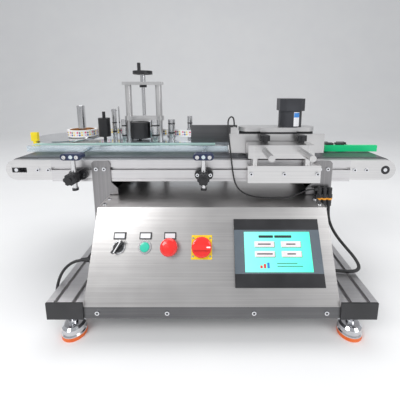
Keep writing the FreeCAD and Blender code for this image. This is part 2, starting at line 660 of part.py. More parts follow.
blockDepth = d.clampBlockBack - d.clampBlockFront
blockHeight = d.clampBlockTop - d.clampBlockBottom
bores = [rod(x, pillarY, d.clampBlockBottom, d.pillarRadius, blockHeight)
         for x in (d.leftPillar, d.rightPillar)]
bores += [rod(x, d.clampBlockFront, d.shaftHeight, d.shaftRadius + d.runFit, blockDepth, "Y")
          for x in (d.leftShaft, d.rightShaft)]
stemDepth = 6
bores += [rod(x, d.knobY, d.clampBlockTop - stemDepth, d.knobStem + d.runFit, stemDepth)
          for x in (d.leftKnob, d.rightKnob)]
clampBlock = cut(box(d.clampBlockStart, d.clampBlockEnd, d.clampBlockFront, d.clampBlockBack,
                     d.clampBlockBottom, d.clampBlockTop), *bores)
keep("clamp_block", clampBlock)

for name, x in (("star_knob_left", d.leftKnob), ("star_knob_right", d.rightKnob)):
    headLow = d.clampBlockTop + 5
    collar = rod(x, d.knobY, d.clampBlockTop, 8, 5)
    head = rod(x, d.knobY, headLow, d.knobRadius, d.knobHeight - 5)
    notches = []
    for step in range(5):
        turn = math.radians(90 + 72 * step)
        reach = d.knobRadius + 2
        notches.append(rod(x + reach * math.cos(turn), d.knobY + reach * math.sin(turn),
                           headLow, 5, d.knobHeight - 5))
    foot = rod(x, d.knobY, d.clampBlockTop - stemDepth, d.knobStem, stemDepth)
    keep(name, join(cut(head, *notches), collar, foot))

wrapPlateBack = d.plateFront + d.wrapPlateThick
coverLeft = d.leftWrapAxis
coverRight = d.rightWrapAxis
floorTop = d.wrapFloorBottom + d.floorThick
coverTop = d.coverBottom + d.coverThick
housing = [box(d.plateStart, d.plateEnd, d.plateFront, wrapPlateBack, d.plateBottom, d.plateTop),
           box(coverLeft + 30, coverRight - 30, d.plateFront, wrapPlateBack, d.plateTop - 1,
               coverTop),
           box(coverLeft + 30, coverRight - 30, wrapPlateBack - 1, wrapY, d.coverBottom, coverTop),
           box(coverLeft, coverRight, d.plateFront, wrapY, d.wrapFloorBottom, floorTop),
           stadium(coverLeft, coverRight, wrapY, d.coverBottom, d.coverRadius, d.coverThick, "Z"),
           stadium(coverLeft, coverRight, wrapY, d.wrapFloorBottom, d.coverRadius,
                   d.floorThick, "Z")]
housing += [rod(x, wrapY, d.wrapFloorBottom, d.wrapAxle, d.coverBottom - d.wrapFloorBottom + 1)
            for x in (coverLeft, coverRight)]
shafts = [rod(x, d.shaftFront, d.shaftHeight, d.shaftRadius, d.plateFront - d.shaftFront, "Y")
          for x in (d.leftShaft, d.rightShaft)]
keep("wrap_housing", group(join(*housing), *shafts))

wrapInner = d.wrapBeltOuter - d.wrapBeltThick
rollLow = floorTop + 2
rollHigh = d.coverBottom - 2
for name, x in (("wrap_idle_roller", coverLeft), ("wrap_drive_roller", coverRight)):
    keep(name, ring(x, wrapY, rollLow, wrapInner - d.rollerGap, d.wrapAxle + d.runFit,
                    rollHigh - rollLow))
wrapBelt = cut(stadium(coverLeft, coverRight, wrapY, rollLow + 1, d.wrapBeltOuter,
                       rollHigh - rollLow - 2, "Z"),
               stadium(coverLeft, coverRight, wrapY, rollLow + 1, wrapInner,
                       rollHigh - rollLow - 2, "Z"))
keep("wrap_belt", wrapBelt)

halfCap = d.motorCapWidth / 2
nip = halfCap * 0.42
capOutline = [(d.motorX + a * halfCap + c * nip, wrapY + b * halfCap + e * nip)
              for a, b, c, e in ((-1, -1, 1, 0), (1, -1, -1, 0), (1, -1, 0, 1), (1, 1, 0, -1),
                                 (1, 1, -1, 0), (-1, 1, 1, 0), (-1, 1, 0, -1), (-1, -1, 0, 1))]
motorCap = prism("XY_Plane", capOutline, coverTop + d.motorHeight, d.motorCap)
keep("wrap_motor", join(rod(d.motorX, wrapY, coverTop, d.motorRadius, d.motorHeight), motorCap))

sensorX = d.plateStart + 14
sensor = join(box(sensorX - 10, sensorX + 10, d.plateFront - 6, wrapPlateBack, d.plateTop,
                  d.plateTop + 18),
              rod(sensorX, d.plateFront - 1, d.plateTop + 18, 4, 3))
keep("bottle_sensor", sensor)


# Label deck with reel, rollers, posts and press
deckBores = [(d.idlerX, d.idlerY, d.spindleRadius), (d.tractionX, d.tractionY, d.spindleRadius),
             (d.ringedX, d.ringedY, d.spindleRadius)]
pinchX = d.tractionX + d.tractionRadius + d.rollerGap + d.pinchRadius
deckBores.append((pinchX, d.tractionY, d.spindleRadius))
deck = cut(box(d.deckStart, d.deckEnd, d.deckFront, d.deckBack, deckBottom, d.deckTop),
           *[rod(x, y, deckBottom, radius + d.runFit, d.deckThick) for x, y, radius in deckBores])
trayBottom = d.reelTrayTop - d.reelTrayThick
reelBore = 6 + d.runFit
reelTray = cut(rod(d.trayX, d.trayY, trayBottom, d.reelTrayRadius, d.reelTrayThick),
               rod(d.reelX, d.trayY, trayBottom, reelBore, d.reelTrayThick))
keep("label_deck", group(deck, reelTray))

armLow = deckBottom - 8
reelArm = join(box(d.trayX - 70, d.deckStart + 36, d.trayY - 13, d.trayY + 13, armLow, deckBottom),
               rod(d.trayX - 40, d.trayY, deckBottom, 16, trayBottom - deckBottom),
               rod(d.reelX, d.trayY, deckBottom, 16, trayBottom - deckBottom))
supports = [cut(reelArm, rod(d.reelX, d.trayY, armLow, reelBore, trayBottom - armLow)),
            rod(railMiddles["left"], d.railBack - 14, railTop, 11, deckBottom - railTop)]
supports += [rod(x, d.cabinetBack - 24, cabinetTop, 10, deckBottom - cabinetTop)
             for x in (-100, 100)]
gusset = [(d.cabinetBack, deckBottom - 180), (d.cabinetBack, deckBottom),
          (d.deckBack - 20, deckBottom), (d.deckBack - 20, deckBottom - 14)]
supports.append(prism("YZ_Plane", gusset, 90, 8))
keep("deck_supports", group(*supports))

mandrelProfile = [(0, armLow), (6, armLow), (6, d.reelTrayTop + 0.3),
                  (d.rollRadius - 4, d.reelTrayTop + 0.3), (d.rollRadius - 4, d.rollBottom),
                  (d.coreRadius, d.rollBottom), (d.coreRadius, d.rollBottom + 13),
                  (d.mandrelRadius, d.rollBottom + 13), (d.mandrelRadius, d.mandrelTop - 1),
                  (d.mandrelRadius - 1, d.mandrelTop), (0, d.mandrelTop)]
keep("reel_mandrel", turned(d.reelX, d.trayY, mandrelProfile))
paper = d.coreRadius + 3
keep("label_roll", group(ring(d.reelX, d.trayY, d.rollBottom, d.rollRadius, paper, d.rollHeight),
                         ring(d.reelX, d.trayY, d.rollBottom, paper, d.coreRadius,
                              d.rollHeight)))

sensorEdge = -509
yellow = join(box(sensorEdge - 10, sensorEdge + 10, 51, 62, 401, 428),
              box(sensorEdge - 5, sensorEdge + 5, 52, 59, trayBottom - 4, 402),
              box(sensorEdge - 5, sensorEdge + 5, 52, 100, trayBottom - 4, trayBottom))
keep("reel_sensor", yellow)


def roller(x, y, low, high, radius, shaft, shaftLow, shaftHigh):
    """A roller and its shaft in one turned piece."""
    return turned(x, y, [(0, shaftLow), (shaft, shaftLow), (shaft, low), (radius, low),
                         (radius, high), (shaft, high), (shaft, shaftHigh), (0, shaftHigh)])


keep("black_idler", roller(d.idlerX, d.idlerY, d.idlerBottom, d.idlerTop, d.idlerRadius,
                           d.spindleRadius, deckBottom, d.spindleTop))
keep("traction_roller", roller(d.tractionX, d.tractionY, d.tractionBottom, d.tractionTop,
                               d.tractionRadius, d.spindleRadius, deckBottom - 20,
                               d.tractionTop + 1))
keep("pinch_roller", roller(pinchX, d.tractionY, d.tractionBottom, d.tractionTop, d.pinchRadius,
                            d.spindleRadius, deckBottom, d.tractionTop + 1))
ringed = join(roller(d.ringedX, d.ringedY, d.deckTop + 1, d.ringedTop, d.ringedRadius,
                     d.spindleRadius, deckBottom, d.ringedTop + 1),
              rod(d.ringedX, d.ringedY, d.ringHeight, d.ringedRadius + 2, 5))
keep("ringed_roller", ringed)

posts = [rod(-228, 73, d.deckTop, 8.5, 74),
         join(rod(-290, 160, d.deckTop, 8, 102), rod(-290, 160, 488, 10, 3)),
         rod(-276, 170, d.deckTop, 2.5, 110),
         join(rod(-83.5, 130, d.deckTop, 12, 68), rod(-83.5, 130, 400, 15.5, 8)),
         join(rod(-22, 150, d.deckTop, 9, 78), rod(-22, 150, 424, 11.5, 4))]
keep("deck_posts", group(*posts))

pressLow = d.pressTop - d.pressPlateThick
columns = [rod(x, d.pressY, d.deckTop, d.columnRadius, pressLow - d.deckTop)
           for x in (d.columnLeft, d.columnRight)]
screwBore = d.screwRadius + d.runFit
topPlate = cut(box(d.screwX - d.pressPlateWidth / 2, d.screwX + d.pressPlateWidth / 2,
                   d.pressY - d.pressPlateDepth / 2, d.pressY + d.pressPlateDepth / 2,
                   pressLow, d.pressTop),
               rod(d.screwX, d.pressY, pressLow, screwBore, d.pressPlateThick))
screwNut = ring(d.screwX, d.pressY, pressLow - 8, 12, screwBore, 8)
keep("press_frame", group(join(topPlate, *columns), screwNut))

cross = cut(stadium(d.columnLeft, d.columnRight, d.pressY, d.crossBottom, 16, d.crossThick, "Z"),
            rod(d.columnLeft, d.pressY, d.crossBottom, d.columnRadius + d.runFit, d.crossThick),
            rod(d.columnRight, d.pressY, d.crossBottom, d.columnRadius + d.runFit, d.crossThick),
            rod(d.screwX, d.pressY, d.crossBottom, screwBore, d.crossThick))
keep("crosshead", cross)

wheelLow = d.wheelHeight
wheelTop = d.wheelHeight + d.wheelThick
wheelProfile = [(0, d.crossBottom), (d.screwRadius, d.crossBottom), (d.screwRadius, d.pressTop),
                (d.hubRadius, d.pressTop), (d.hubRadius, wheelLow + 2),
                (d.wheelRadius - 7, wheelLow + 4), (d.wheelRadius - 5, wheelLow),
                (d.wheelRadius, wheelLow), (d.wheelRadius, wheelTop),
                (d.wheelRadius - 5, wheelTop), (d.wheelRadius - 7, wheelTop - 4),
                (d.hubRadius, wheelTop - 2), (0, wheelTop - 2)]
handle = rod(d.screwX - 5, d.pressY - d.wheelRadius + 6.5, wheelTop - 5, d.handleRadius,
             d.handleTop - wheelTop + 5)
windows = []
for step in range(4):
    turn = math.radians(45 + 90 * step)
    windows.append(rod(d.screwX + 17 * math.cos(turn), d.pressY + 17 * math.sin(turn), wheelLow,
                       d.wheelWindow, d.wheelThick))
wheel = cut(turned(d.screwX, d.pressY, wheelProfile), *windows)
keep("handwheel", join(wheel, handle))

keep("peel_plate", box(d.peelStart, d.deckEnd, d.peelFront, d.peelFront + d.peelThick,
                       d.deckTop, d.peelTop))


def web_between(circles, thickness, low, high):
    """A ribbon drawn tight past circles (x, y, r); the centre lies r to its left, or to its
    right where r is negative, and a point where r is 0."""
    lines = []
    for (x0, y0, r0), (x1, y1, r1) in zip(circles, circles[1:]):
        apart = math.hypot(x1 - x0, y1 - y0)
        normal = math.atan2(y1 - y0, x1 - x0) + math.acos((r1 - r0) / apart)
        across = FreeCAD.Vector(math.cos(normal), math.sin(normal), 0)
        start = FreeCAD.Vector(x0, y0, 0) - across * r0
        end = FreeCAD.Vector(x1, y1, 0) - across * r1
        lines.append((start, end, across))
    edges = []
    for side in (0.5, -0.5):
        points = [(start + across * side * thickness, end + across * side * thickness)
                  for start, end, across in lines]
        for i, (start, end) in enumerate(points):
            edges.append(Part.LineSegment(start, end).toShape())
            if i + 1 < len(points):
                centre = FreeCAD.Vector(circles[i + 1][0], circles[i + 1][1], 0)
                radius = abs(circles[i + 1][2] - side * thickness)
                toward = (end - centre) + (points[i + 1][0] - centre)
                middle = centre + toward.normalize() * radius
                edges.append(Part.Arc(end, middle, points[i + 1][0]).toShape())
        if side > 0:
            first, last = points[0][0], points[-1][1]
        else:
            edges.append(Part.LineSegment(first, points[0][0]).toShape())
            edges.append(Part.LineSegment(last, points[-1][1]).toShape())
    outline = Part.Wire(Part.__sortEdges__(edges))
    ribbon = Part.Face(outline).extrude(FreeCAD.Vector(0, 0, high - low))
    ribbon.translate(FreeCAD.Vector(0, 0, low))
    return ribbon


gap = d.rollerGap.number + d.webThick.number / 2
webCircles = [(d.reelX.number, d.trayY.number, -(d.rollRadius.number + gap)),
              (d.columnRight.number, d.pressY.number, -(d.columnRadius.number + gap)),
              (-83.5, 130, -(15.5 + gap)),
              (d.deckEnd.number, d.peelFront.number + d.peelThick.number + gap, 0)]
web = doc.addObject("Part::Feature", "Web")
web.Shape = web_between(webCircles, d.webThick.number, d.webBottom.number,
                        d.webBottom.number + d.webHeight.number)
keep("label_web", web)


# Cords: straight runs joined by tangent arcs
def cord_path(points):
    """Runs between the points, with an arc at each point as large as its two runs allow."""
    points = [FreeCAD.Vector(*point) for point in points]
    edges = []
    radii = []
    start = points[0]
    for before, corner, after in zip(points, points[1:], points[2:]):
        back = before - corner
        ahead = after - corner
        reach = 0.45 * min(back.Length, ahead.Length)
        half = (math.pi - back.getAngle(ahead)) / 2
        radius = reach / math.tan(half)
        radii.append(radius)
        back.normalize()
        ahead.normalize()
        enter = corner + back * reach
        leave = corner + ahead * reach
        toward = (back + ahead).normalize()
        centre = corner + toward * (radius / math.cos(half))
        middle = centre - toward * radius
        edges.append(Part.LineSegment(start, enter).toShape())
        edges.append(Part.Arc(enter, middle, leave).toShape())
        start = leave
    edges.append(Part.LineSegment(start, points[-1]).toShape())
    return Part.Wire(edges), radii


def cord(name, points, radius):
    path, radii = cord_path(points)
    along = FreeCAD.Vector(*points[1]) - FreeCAD.Vector(*points[0])
    section = Part.Wire([Part.makeCircle(radius, FreeCAD.Vector(*points[0]), along)])
    tube = path.makePipeShell([section], True, True)
    expected = math.pi * radius ** 2 * path.Length
    share = tube.Volume / expected
    print("%s: %.0f mm long, smallest radius %.0f mm, volume %.4f of section times length"
          % (name, path.Length, min(radii) if radii else 0, share))
    thing = doc.addObject("Part::Feature", "Cord")
    thing.Shape = tube
    return thing


gland = (d.glandX.number, d.glandY.number, d.glandZ.number)
onFloor = d.mainsRadius.number + 0.1
mainsRoute = [gland, (-267, gland[1], gland[2]), (-291, -195, 142), (-310, -200, 123), (-320, -206, 97),
              (-324, -209, 68), (-325, -204, 40), (-326, -187, 17), (-327, -160, 5),
              (-328, -130, onFloor), (-332, -75, onFloor), (-329, -10, onFloor),
              (-334, 60, onFloor), (-327, 125, onFloor), (-300, 172, onFloor),
              (-258, 190, onFloor)]
coilX, coilY = -160, 215
plugY = 165
beside = (d.coilMiddle + 11 + d.mainsRadius + 0.05).number


def beside_coil(angle, z):
    """The middle of a lead that lies against the outside of the coil."""
    turn = math.radians(angle)
    return (coilX + beside * math.cos(turn), coilY + beside * math.sin(turn), z)


mainsRoute.append(beside_coil(-108.2, onFloor))
plugRoute = [beside_coil(-79, 10.7), (-130, plugY, 9.6), (-112, plugY, 9.6)]
leads = [cord("mains cord", mainsRoute, d.mainsRadius.number),
         cord("mains cord end", plugRoute, d.mainsRadius.number)]
keep("mains_cord", group(*leads))
turnHeight = d.mainsRadius * 4 + 0.2
coilProfile = [(d.coilMiddle - 11, 2), (d.coilMiddle - 9, 0), (d.coilMiddle + 9, 0),
               (d.coilMiddle + 11, 2), (d.coilMiddle + 11, turnHeight - 2),
               (d.coilMiddle + 9, turnHeight), (d.coilMiddle - 9, turnHeight),
               (d.coilMiddle - 11, turnHeight - 2)]
keep("mains_cord_coil", turned(coilX, coilY, coilProfile))
plugBody = join(box(-112, -74, plugY - 14.5, plugY + 14.5, 0.5, 19),
                box(-74, -66, plugY - 17, plugY + 17, 0.5, 22),
                rod(-66, plugY - 8, 11, 2.4, 19, "X"), rod(-66, plugY + 8, 11, 2.4, 19, "X"))
keep("mains_plug", plugBody)

linkX = (346, 360, 374)
linkY = -98
linkLow, linkHigh = 250, 300
elbowZ = linkHigh - 5
harnessRoute = [(linkX[2], linkY, linkLow), (linkX[2], linkY, 222), (380, -105, 195),
                (392, -118, 171), (409, -137, 150), (425, -156, 132), (431, -173, 118),
                (420, -183, 112), (397, -183, 110), (370, -179, harnessZ.number),
                (cabinetRight.number + 10, harnessY.number, harnessZ.number)]
keep("control_harness", cord("control harness", harnessRoute, d.harnessRadius.number))
sensorRoute = [(sensorX.number, d.plateFront.number - 1, d.plateTop.number + 21),
               (sensorX.number, d.plateFront.number - 1, 481), (107.8, -58.2, 490),
               (98.1, -70.4, 480.5), (99, -76, 457), (101, -86, 430), (104, -97, 402),
               (107, -107, 373), (110, -113, 346), (115, -114.5, 322), (124, -112, 303),
               (139, -109, 289.5), (157, -107.5, 281), (182, -110, 277.4), (216, -114, 277.6),
               (250, -111, 277.4), (280, -104, 281), (301, -99, 289),
               (318, linkY, elbowZ), (linkX[0] - 13, linkY, elbowZ)]
keep("sensor_cable", cord("sensor cable", sensorRoute, d.sensorCordRadius.number))

legFace = faceFront - d.legThick
connectors = [rod(x, linkY, linkLow, 6, linkHigh - linkLow) for x in linkX]
connectors.append(rod(linkX[0] - 13, linkY, elbowZ, 4.5, 13, "X"))
clip = box(linkX[0] - 8, linkX[2] + 7, linkY - 3, legFace, 268, 282)
mainsGland = rod(cabinetLeft - 18, d.glandY, d.glandZ, 8, 18, "X")
harnessGland = rod(cabinetRight, harnessY, harnessZ, 7.5, 10, "X")
keep("cable_glands", group(mainsGland, harnessGland, join(clip, *connectors)))


# Screw heads
def bolt_front(x, y, z, radius=5, high=4):
    """A socket head on a face that looks to -Y."""
    return cut(rod(x, y - high, z, radius, high, "Y"),
               rod(x, y - high, z, radius / 2, high / 2, "Y"))


bolts = []
for outer, into in legOuters.values():
    for step in (13, 34.5):
        bolts.append(bolt_front(outer + step * into, legFace, slotZ))
for x in (d.leftBracket, d.rightBracket):
    for side in (-1, 1):
        bolts.append(bolt_front(x + side * d.flangeBolt, flangeFace, d.bracketMiddle, 4.5, 2.5))
for x in (tailX + 60, tailX + 88, driveX - 52, driveX - 84):
    bolts.append(bolt_front(x, faceFront, axleZ, 5, 3))
for x in (d.standStart + 9, (d.standStart + d.standEnd) / 2, d.standEnd - 9):
    bolts.append(bolt_front(x, faceFront - d.standDepth, d.bracketMiddle + 8, 5, 4))
flangeMiddle = d.footHeight + d.flangeHeight / 2
for x in (cabinetLeft + 30, d.cabinetMiddle - 98, d.cabinetMiddle + 92, cabinetRight - 30):
    bolts.append(bolt_front(x, d.railFront, flangeMiddle, 5, 3))
for x in (cabinetLeft + 10, cabinetRight - 10):
    for y in (-150, -118):
        bolts.append(rod(x, y, cabinetTop, 5, 2.5))
keep("frame_bolts", group(*bolts))


# Everything is recomputed and checked before any file is written
doc.recompute()
faults = []
for thing in doc.Objects:
    if "Invalid" in thing.State or "Error" in thing.State:
        faults.append("%s (%s)" % (thing.Name, thing.Label))
for name, thing in made.items():
    if thing.Shape.isNull() or not thing.Shape.isValid() or not thing.Shape.Solids:
        faults.append("shape of " + name)
if faults:
    raise SystemExit("failed: " + ", ".join(faults))
os.makedirs("parts", exist_ok=True)
for name, thing in made.items():
    thing.Shape.exportStep("parts/%s.step" % name)
print("%d sub-parts written" % len(made))
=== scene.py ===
"""Looks of a tabletop bottle labelling machine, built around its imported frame."""
import math

import bpy
import bmesh
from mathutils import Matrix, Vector


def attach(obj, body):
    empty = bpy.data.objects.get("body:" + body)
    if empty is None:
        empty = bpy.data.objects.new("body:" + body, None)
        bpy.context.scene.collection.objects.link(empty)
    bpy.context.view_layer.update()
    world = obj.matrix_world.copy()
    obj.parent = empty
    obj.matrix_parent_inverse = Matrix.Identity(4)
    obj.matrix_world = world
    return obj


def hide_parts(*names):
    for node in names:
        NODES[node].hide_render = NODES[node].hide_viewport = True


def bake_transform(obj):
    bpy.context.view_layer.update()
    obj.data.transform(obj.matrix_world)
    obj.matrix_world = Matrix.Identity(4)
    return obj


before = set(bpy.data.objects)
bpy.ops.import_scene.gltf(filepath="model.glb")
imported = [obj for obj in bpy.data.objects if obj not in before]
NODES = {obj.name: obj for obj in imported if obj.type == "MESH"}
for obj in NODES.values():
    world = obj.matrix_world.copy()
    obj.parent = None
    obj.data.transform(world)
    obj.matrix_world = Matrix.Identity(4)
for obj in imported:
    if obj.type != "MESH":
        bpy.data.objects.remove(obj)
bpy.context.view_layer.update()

MM = 0.001
scene = bpy.context.scene


# ---------------------------------------------------------------- camera
camera_data = bpy.data.cameras.new("Camera")
camera_data.sensor_width = 36
camera_data.lens = 24.2
camera_data.shift_x = -0.03
camera_data.shift_y = -0.15
camera_data.clip_start = 0.02
camera_data.dof.use_dof = False
camera = bpy.data.objects.new("Camera", camera_data)
scene.collection.objects.link(camera)
camera.location = (0.0555, -0.790, 0.554)
camera.rotation_euler = (math.radians(90 - 10.1), 0, 0)
scene.camera = camera


# ---------------------------------------------------------------- node helpers
class Nodes:
    """Short ways to add shader nodes to one material."""

    def __init__(self, name):
        self.mat = bpy.data.materials.new(name)
        self.mat.use_nodes = True
        self.tree = self.mat.node_tree
        self.tree.nodes.clear()
        self.out = self.tree.nodes.new("ShaderNodeOutputMaterial")

    def new(self, kind, **values):
        node = self.tree.nodes.new("ShaderNode" + kind)
        for key, value in values.items():
            setattr(node, key, value)
        return node

    def link(self, a, b):
        self.tree.links.new(a, b)

    def feed(self, socket, value):
        if hasattr(value, "links"):
            self.link(value, socket)
        else:
            socket.default_value = value

    def math(self, operation, a, b=0.0, c=0.0):
        node = self.new("Math", operation=operation)
        for socket, value in zip(node.inputs, (a, b, c)):
            self.feed(socket, value)
        return node.outputs[0]

    def place(self):
        """The point on the object, in millimetres, as X, Y, Z."""
        coords = self.new("TexCoord")
        split = self.new("SeparateXYZ")
        self.link(coords.outputs["Object"], split.inputs[0])
        return [self.math("MULTIPLY", split.outputs[i], 1000.0) for i in range(3)]

    def grain(self, scale, detail=3.0, stretch=(1, 1, 1), rough=0.6):
        coords = self.new("TexCoord")
        mapping = self.new("Mapping")
        mapping.inputs["Scale"].default_value = stretch
        self.link(coords.outputs["Object"], mapping.inputs[0])
        noise = self.new("TexNoise")
        noise.inputs["Scale"].default_value = scale
        noise.inputs["Detail"].default_value = detail
        noise.inputs["Roughness"].default_value = rough
        self.link(mapping.outputs[0], noise.inputs["Vector"])
        return noise.outputs["Fac"]

    def between(self, value, low, high):
        """1 where value is between low and high."""
        above = self.math("GREATER_THAN", value, low)
        below = self.math("LESS_THAN", value, high)
        return self.math("MULTIPLY", above, below)

    def near(self, x, y, middle, radius):
        """1 where the point is within radius of the upright line at middle."""
        dx = self.math("SUBTRACT", x, middle[0])
        dy = self.math("SUBTRACT", y, middle[1])
        far = self.math("ADD", self.math("MULTIPLY", dx, dx), self.math("MULTIPLY", dy, dy))
        return self.math("LESS_THAN", far, radius * radius)

    def pick(self, mask, a, b):
        """a where mask is 0 and b where it is 1."""
        return self.math("ADD", a, self.math("MULTIPLY", mask, self.math("SUBTRACT", b, a)))

    def ramp(self, value, *stops):
        node = self.new("ValToRGB")
        ramp = node.color_ramp
        while len(ramp.elements) < len(stops):
            ramp.elements.new(0.5)
        for element, (at, colour) in zip(ramp.elements, stops):
            element.position = at
            element.color = (*colour, 1)
        self.feed(node.inputs[0], value)
        return node.outputs[0]

    def mix(self, factor, a, b):
        node = self.new("Mix", data_type="RGBA")
        self.feed(node.inputs[0], factor)
        for socket, value in ((node.inputs[6], a), (node.inputs[7], b)):
            if hasattr(value, "links"):
                self.link(value, socket)
            else:
                socket.default_value = (*value, 1)
        return node.outputs[2]

    def span(self, value, low, high):
        node = self.new("MapRange")
        self.feed(node.inputs[0], value)
        node.inputs[3].default_value = low
        node.inputs[4].default_value = high
        return node.outputs[0]

    def shader(self, colour, rough, metal=0.0, bump=None, bump_size=0.1, coat=0.0, glow=None,
               specular=None):
        bsdf = self.new("BsdfPrincipled")
        if hasattr(colour, "links"):
            self.link(colour, bsdf.inputs["Base Color"])
        else:
            bsdf.inputs["Base Color"].default_value = (*colour, 1)
        self.feed(bsdf.inputs["Roughness"], rough)
        self.feed(bsdf.inputs["Metallic"], metal)
        if coat:
            bsdf.inputs["Coat Weight"].default_value = coat
            bsdf.inputs["Coat Roughness"].default_value = 0.08
        if specular is not None:
            bsdf.inputs["Specular IOR Level"].default_value = specular
        if glow is not None:
            self.feed(bsdf.inputs["Emission Color"], glow[0])
            bsdf.inputs["Emission Strength"].default_value = glow[1]
        if bump is not None:
            node = self.new("Bump")
            node.inputs["Strength"].default_value = bump_size
            node.inputs["Distance"].default_value = 0.001
            self.link(bump, node.inputs["Height"])
            self.link(node.outputs[0], bsdf.inputs["Normal"])
        return bsdf.outputs[0]

    def done(self, shader):
        self.link(shader, self.out.inputs["Surface"])
        return self.mat


def metal(name, dark, light, rough=(0.25, 0.4), stretch=(3, 260, 260), scale=1.0, bump=0.12,
          metallic=1.0):
    """Brushed metal: fine lines along the axis with the smallest stretch, over soft clouds."""
    n = Nodes(name)
    lines = n.grain(scale, 4, stretch)
    clouds = n.grain(9, 2)
    both = n.math("ADD", n.math("MULTIPLY", lines, 0.6), n.math("MULTIPLY", clouds, 0.4))
    colour = n.ramp(both, (0.3, dark), (0.7, light))
    return n.done(n.shader(colour, n.span(both, *rough), metallic, lines, bump))


def plastic(name, dark, light, rough=(0.35, 0.5), scale=900, bump=0.08, coat=0.0, metallic=0.0):
    """Moulded plastic: soft clouds in colour and gloss over a fine grain."""
    n = Nodes(name)
    fine = n.grain(scale, 2)
    clouds = n.grain(14, 2)
    colour = n.ramp(clouds, (0.35, dark), (0.65, light))
    return n.done(n.shader(colour, n.span(clouds, *rough), metallic, fine, bump, coat))


# ---------------------------------------------------------------- piece helpers
def mesh_piece(name, verts, faces, material, body, smooth=False):
    """A closed mesh in metres that rides on a body."""
    mesh = bpy.data.meshes.new(name)
    mesh.from_pydata([Vector(v) for v in verts], [], faces)
    build = bmesh.new()
    build.from_mesh(mesh)
    bmesh.ops.recalc_face_normals(build, faces=build.faces)
    build.to_mesh(mesh)
    build.free()
    for face in mesh.polygons:
        face.use_smooth = smooth
    piece = bpy.data.objects.new(name, mesh)
    scene.collection.objects.link(piece)
    mesh.materials.append(material)
    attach(piece, body)
    return piece


SLOPE_TOP = (-168.0, 275.0)
DOWN = (-0.50825, -0.86121)
OUT = (-0.86121, 0.50825)


def on_panel(x, u, h):
    """A point u down the sloped front from its top edge and h out of it, in metres."""
    y = SLOPE_TOP[0] + DOWN[0] * u + OUT[0] * h
    z = SLOPE_TOP[1] + DOWN[1] * u + OUT[1] * h
    return Vector((x, y, z)) * MM


def rounded(width, height, radius, corner=4):
    """The outline of a rectangle with round corners, centred on 0, 0."""
    radius = min(radius, width / 2 - 1e-4, height / 2 - 1e-4)
    points = []
    for cx, cy, start in ((1, 1, 0), (-1, 1, 90), (-1, -1, 180), (1, -1, 270)):
        for step in range(corner + 1):
            turn = math.radians(start + 90 * step / corner)
            points.append((cx * (width / 2 - radius) + radius * math.cos(turn),
                           cy * (height / 2 - radius) + radius * math.sin(turn)))
    return points


def plate(name, outline, place, low, high, material, body, edge=0.0):
    """A thin plate: outline (a, b) points, place(a, b, h) gives the point in metres."""
    count = len(outline)
    rings = [(low, 0.0), (high - edge, 0.0)]
    if edge:
        rings.append((high, edge))
    verts = []
    centre_a = sum(p[0] for p in outline) / count
    centre_b = sum(p[1] for p in outline) / count
    for h, inset in rings:
        for a, b in outline:
            size = math.hypot(a - centre_a, b - centre_b) or 1
            k = 1 - inset / size
            verts.append(place(centre_a + (a - centre_a) * k, centre_b + (b - centre_b) * k, h))
    faces = [list(range(count))[::-1]]
    for r in range(len(rings) - 1):
        for i in range(count):
            j = (i + 1) % count
            faces.append([r * count + i, r * count + j, (r + 1) * count + j, (r + 1) * count + i])
    faces.append([(len(rings) - 1) * count + i for i in range(count)])
    return mesh_piece(name, verts, faces, material, body)


def panel_plate(name, x, u, width, height, low, high, material, radius=1.0, edge=0.25):
    """A plate with round corners on the sloped front, its middle u down from the top edge."""
    return plate(name, [(x + a, u + b) for a, b in rounded(width, height, radius)], on_panel,
                 low, high, material, "frame", edge)


def disc(radius, count):
    """The outline of a round disc, as a polygon."""
    turns = [2 * math.pi * i / count for i in range(count)]
    return [(radius * math.cos(turn), radius * math.sin(turn)) for turn in turns]


# ---------------------------------------------------------------- cords
def spline(name, points, radius):
    """One smooth line with these points, in millimetres, as its control points."""
    curve = bpy.data.curves.new(name, "CURVE")
    curve.dimensions = "3D"
    curve.resolution_u = 6
    line = curve.splines.new("NURBS")
    line.points.add(len(points) - 1)
    for point, place in zip(line.points, points):
        point.co = (*(Vector(place) * MM), 1)
    line.order_u = 3
    line.use_endpoint_u = True
    curve.bevel_depth = radius * MM
    curve.bevel_resolution = 3
    curve.use_fill_caps = True
    cord = bpy.data.objects.new(name, curve)
    scene.collection.objects.link(cord)
    return cord


cord_black = plastic("cord_black", (0.010, 0.010, 0.011), (0.020, 0.020, 0.022), (0.38, 0.5),
                     700, 0.1)
FLOOR = 3.6
COIL = (-160.0, 215.0)
BESIDE = 54.55           # from the coil's middle to a lead that lies against its outside
OUTER_TURN = 47.5
INNER_TURN = 33.3
TURN_GAP = 7.1


def round_coil(radius, angle, z):
    """A point of the coil of spare lead, in millimetres."""
    turn = math.radians(angle)
    return (COIL[0] + radius * math.cos(turn), COIL[1] + radius * math.sin(turn), z)


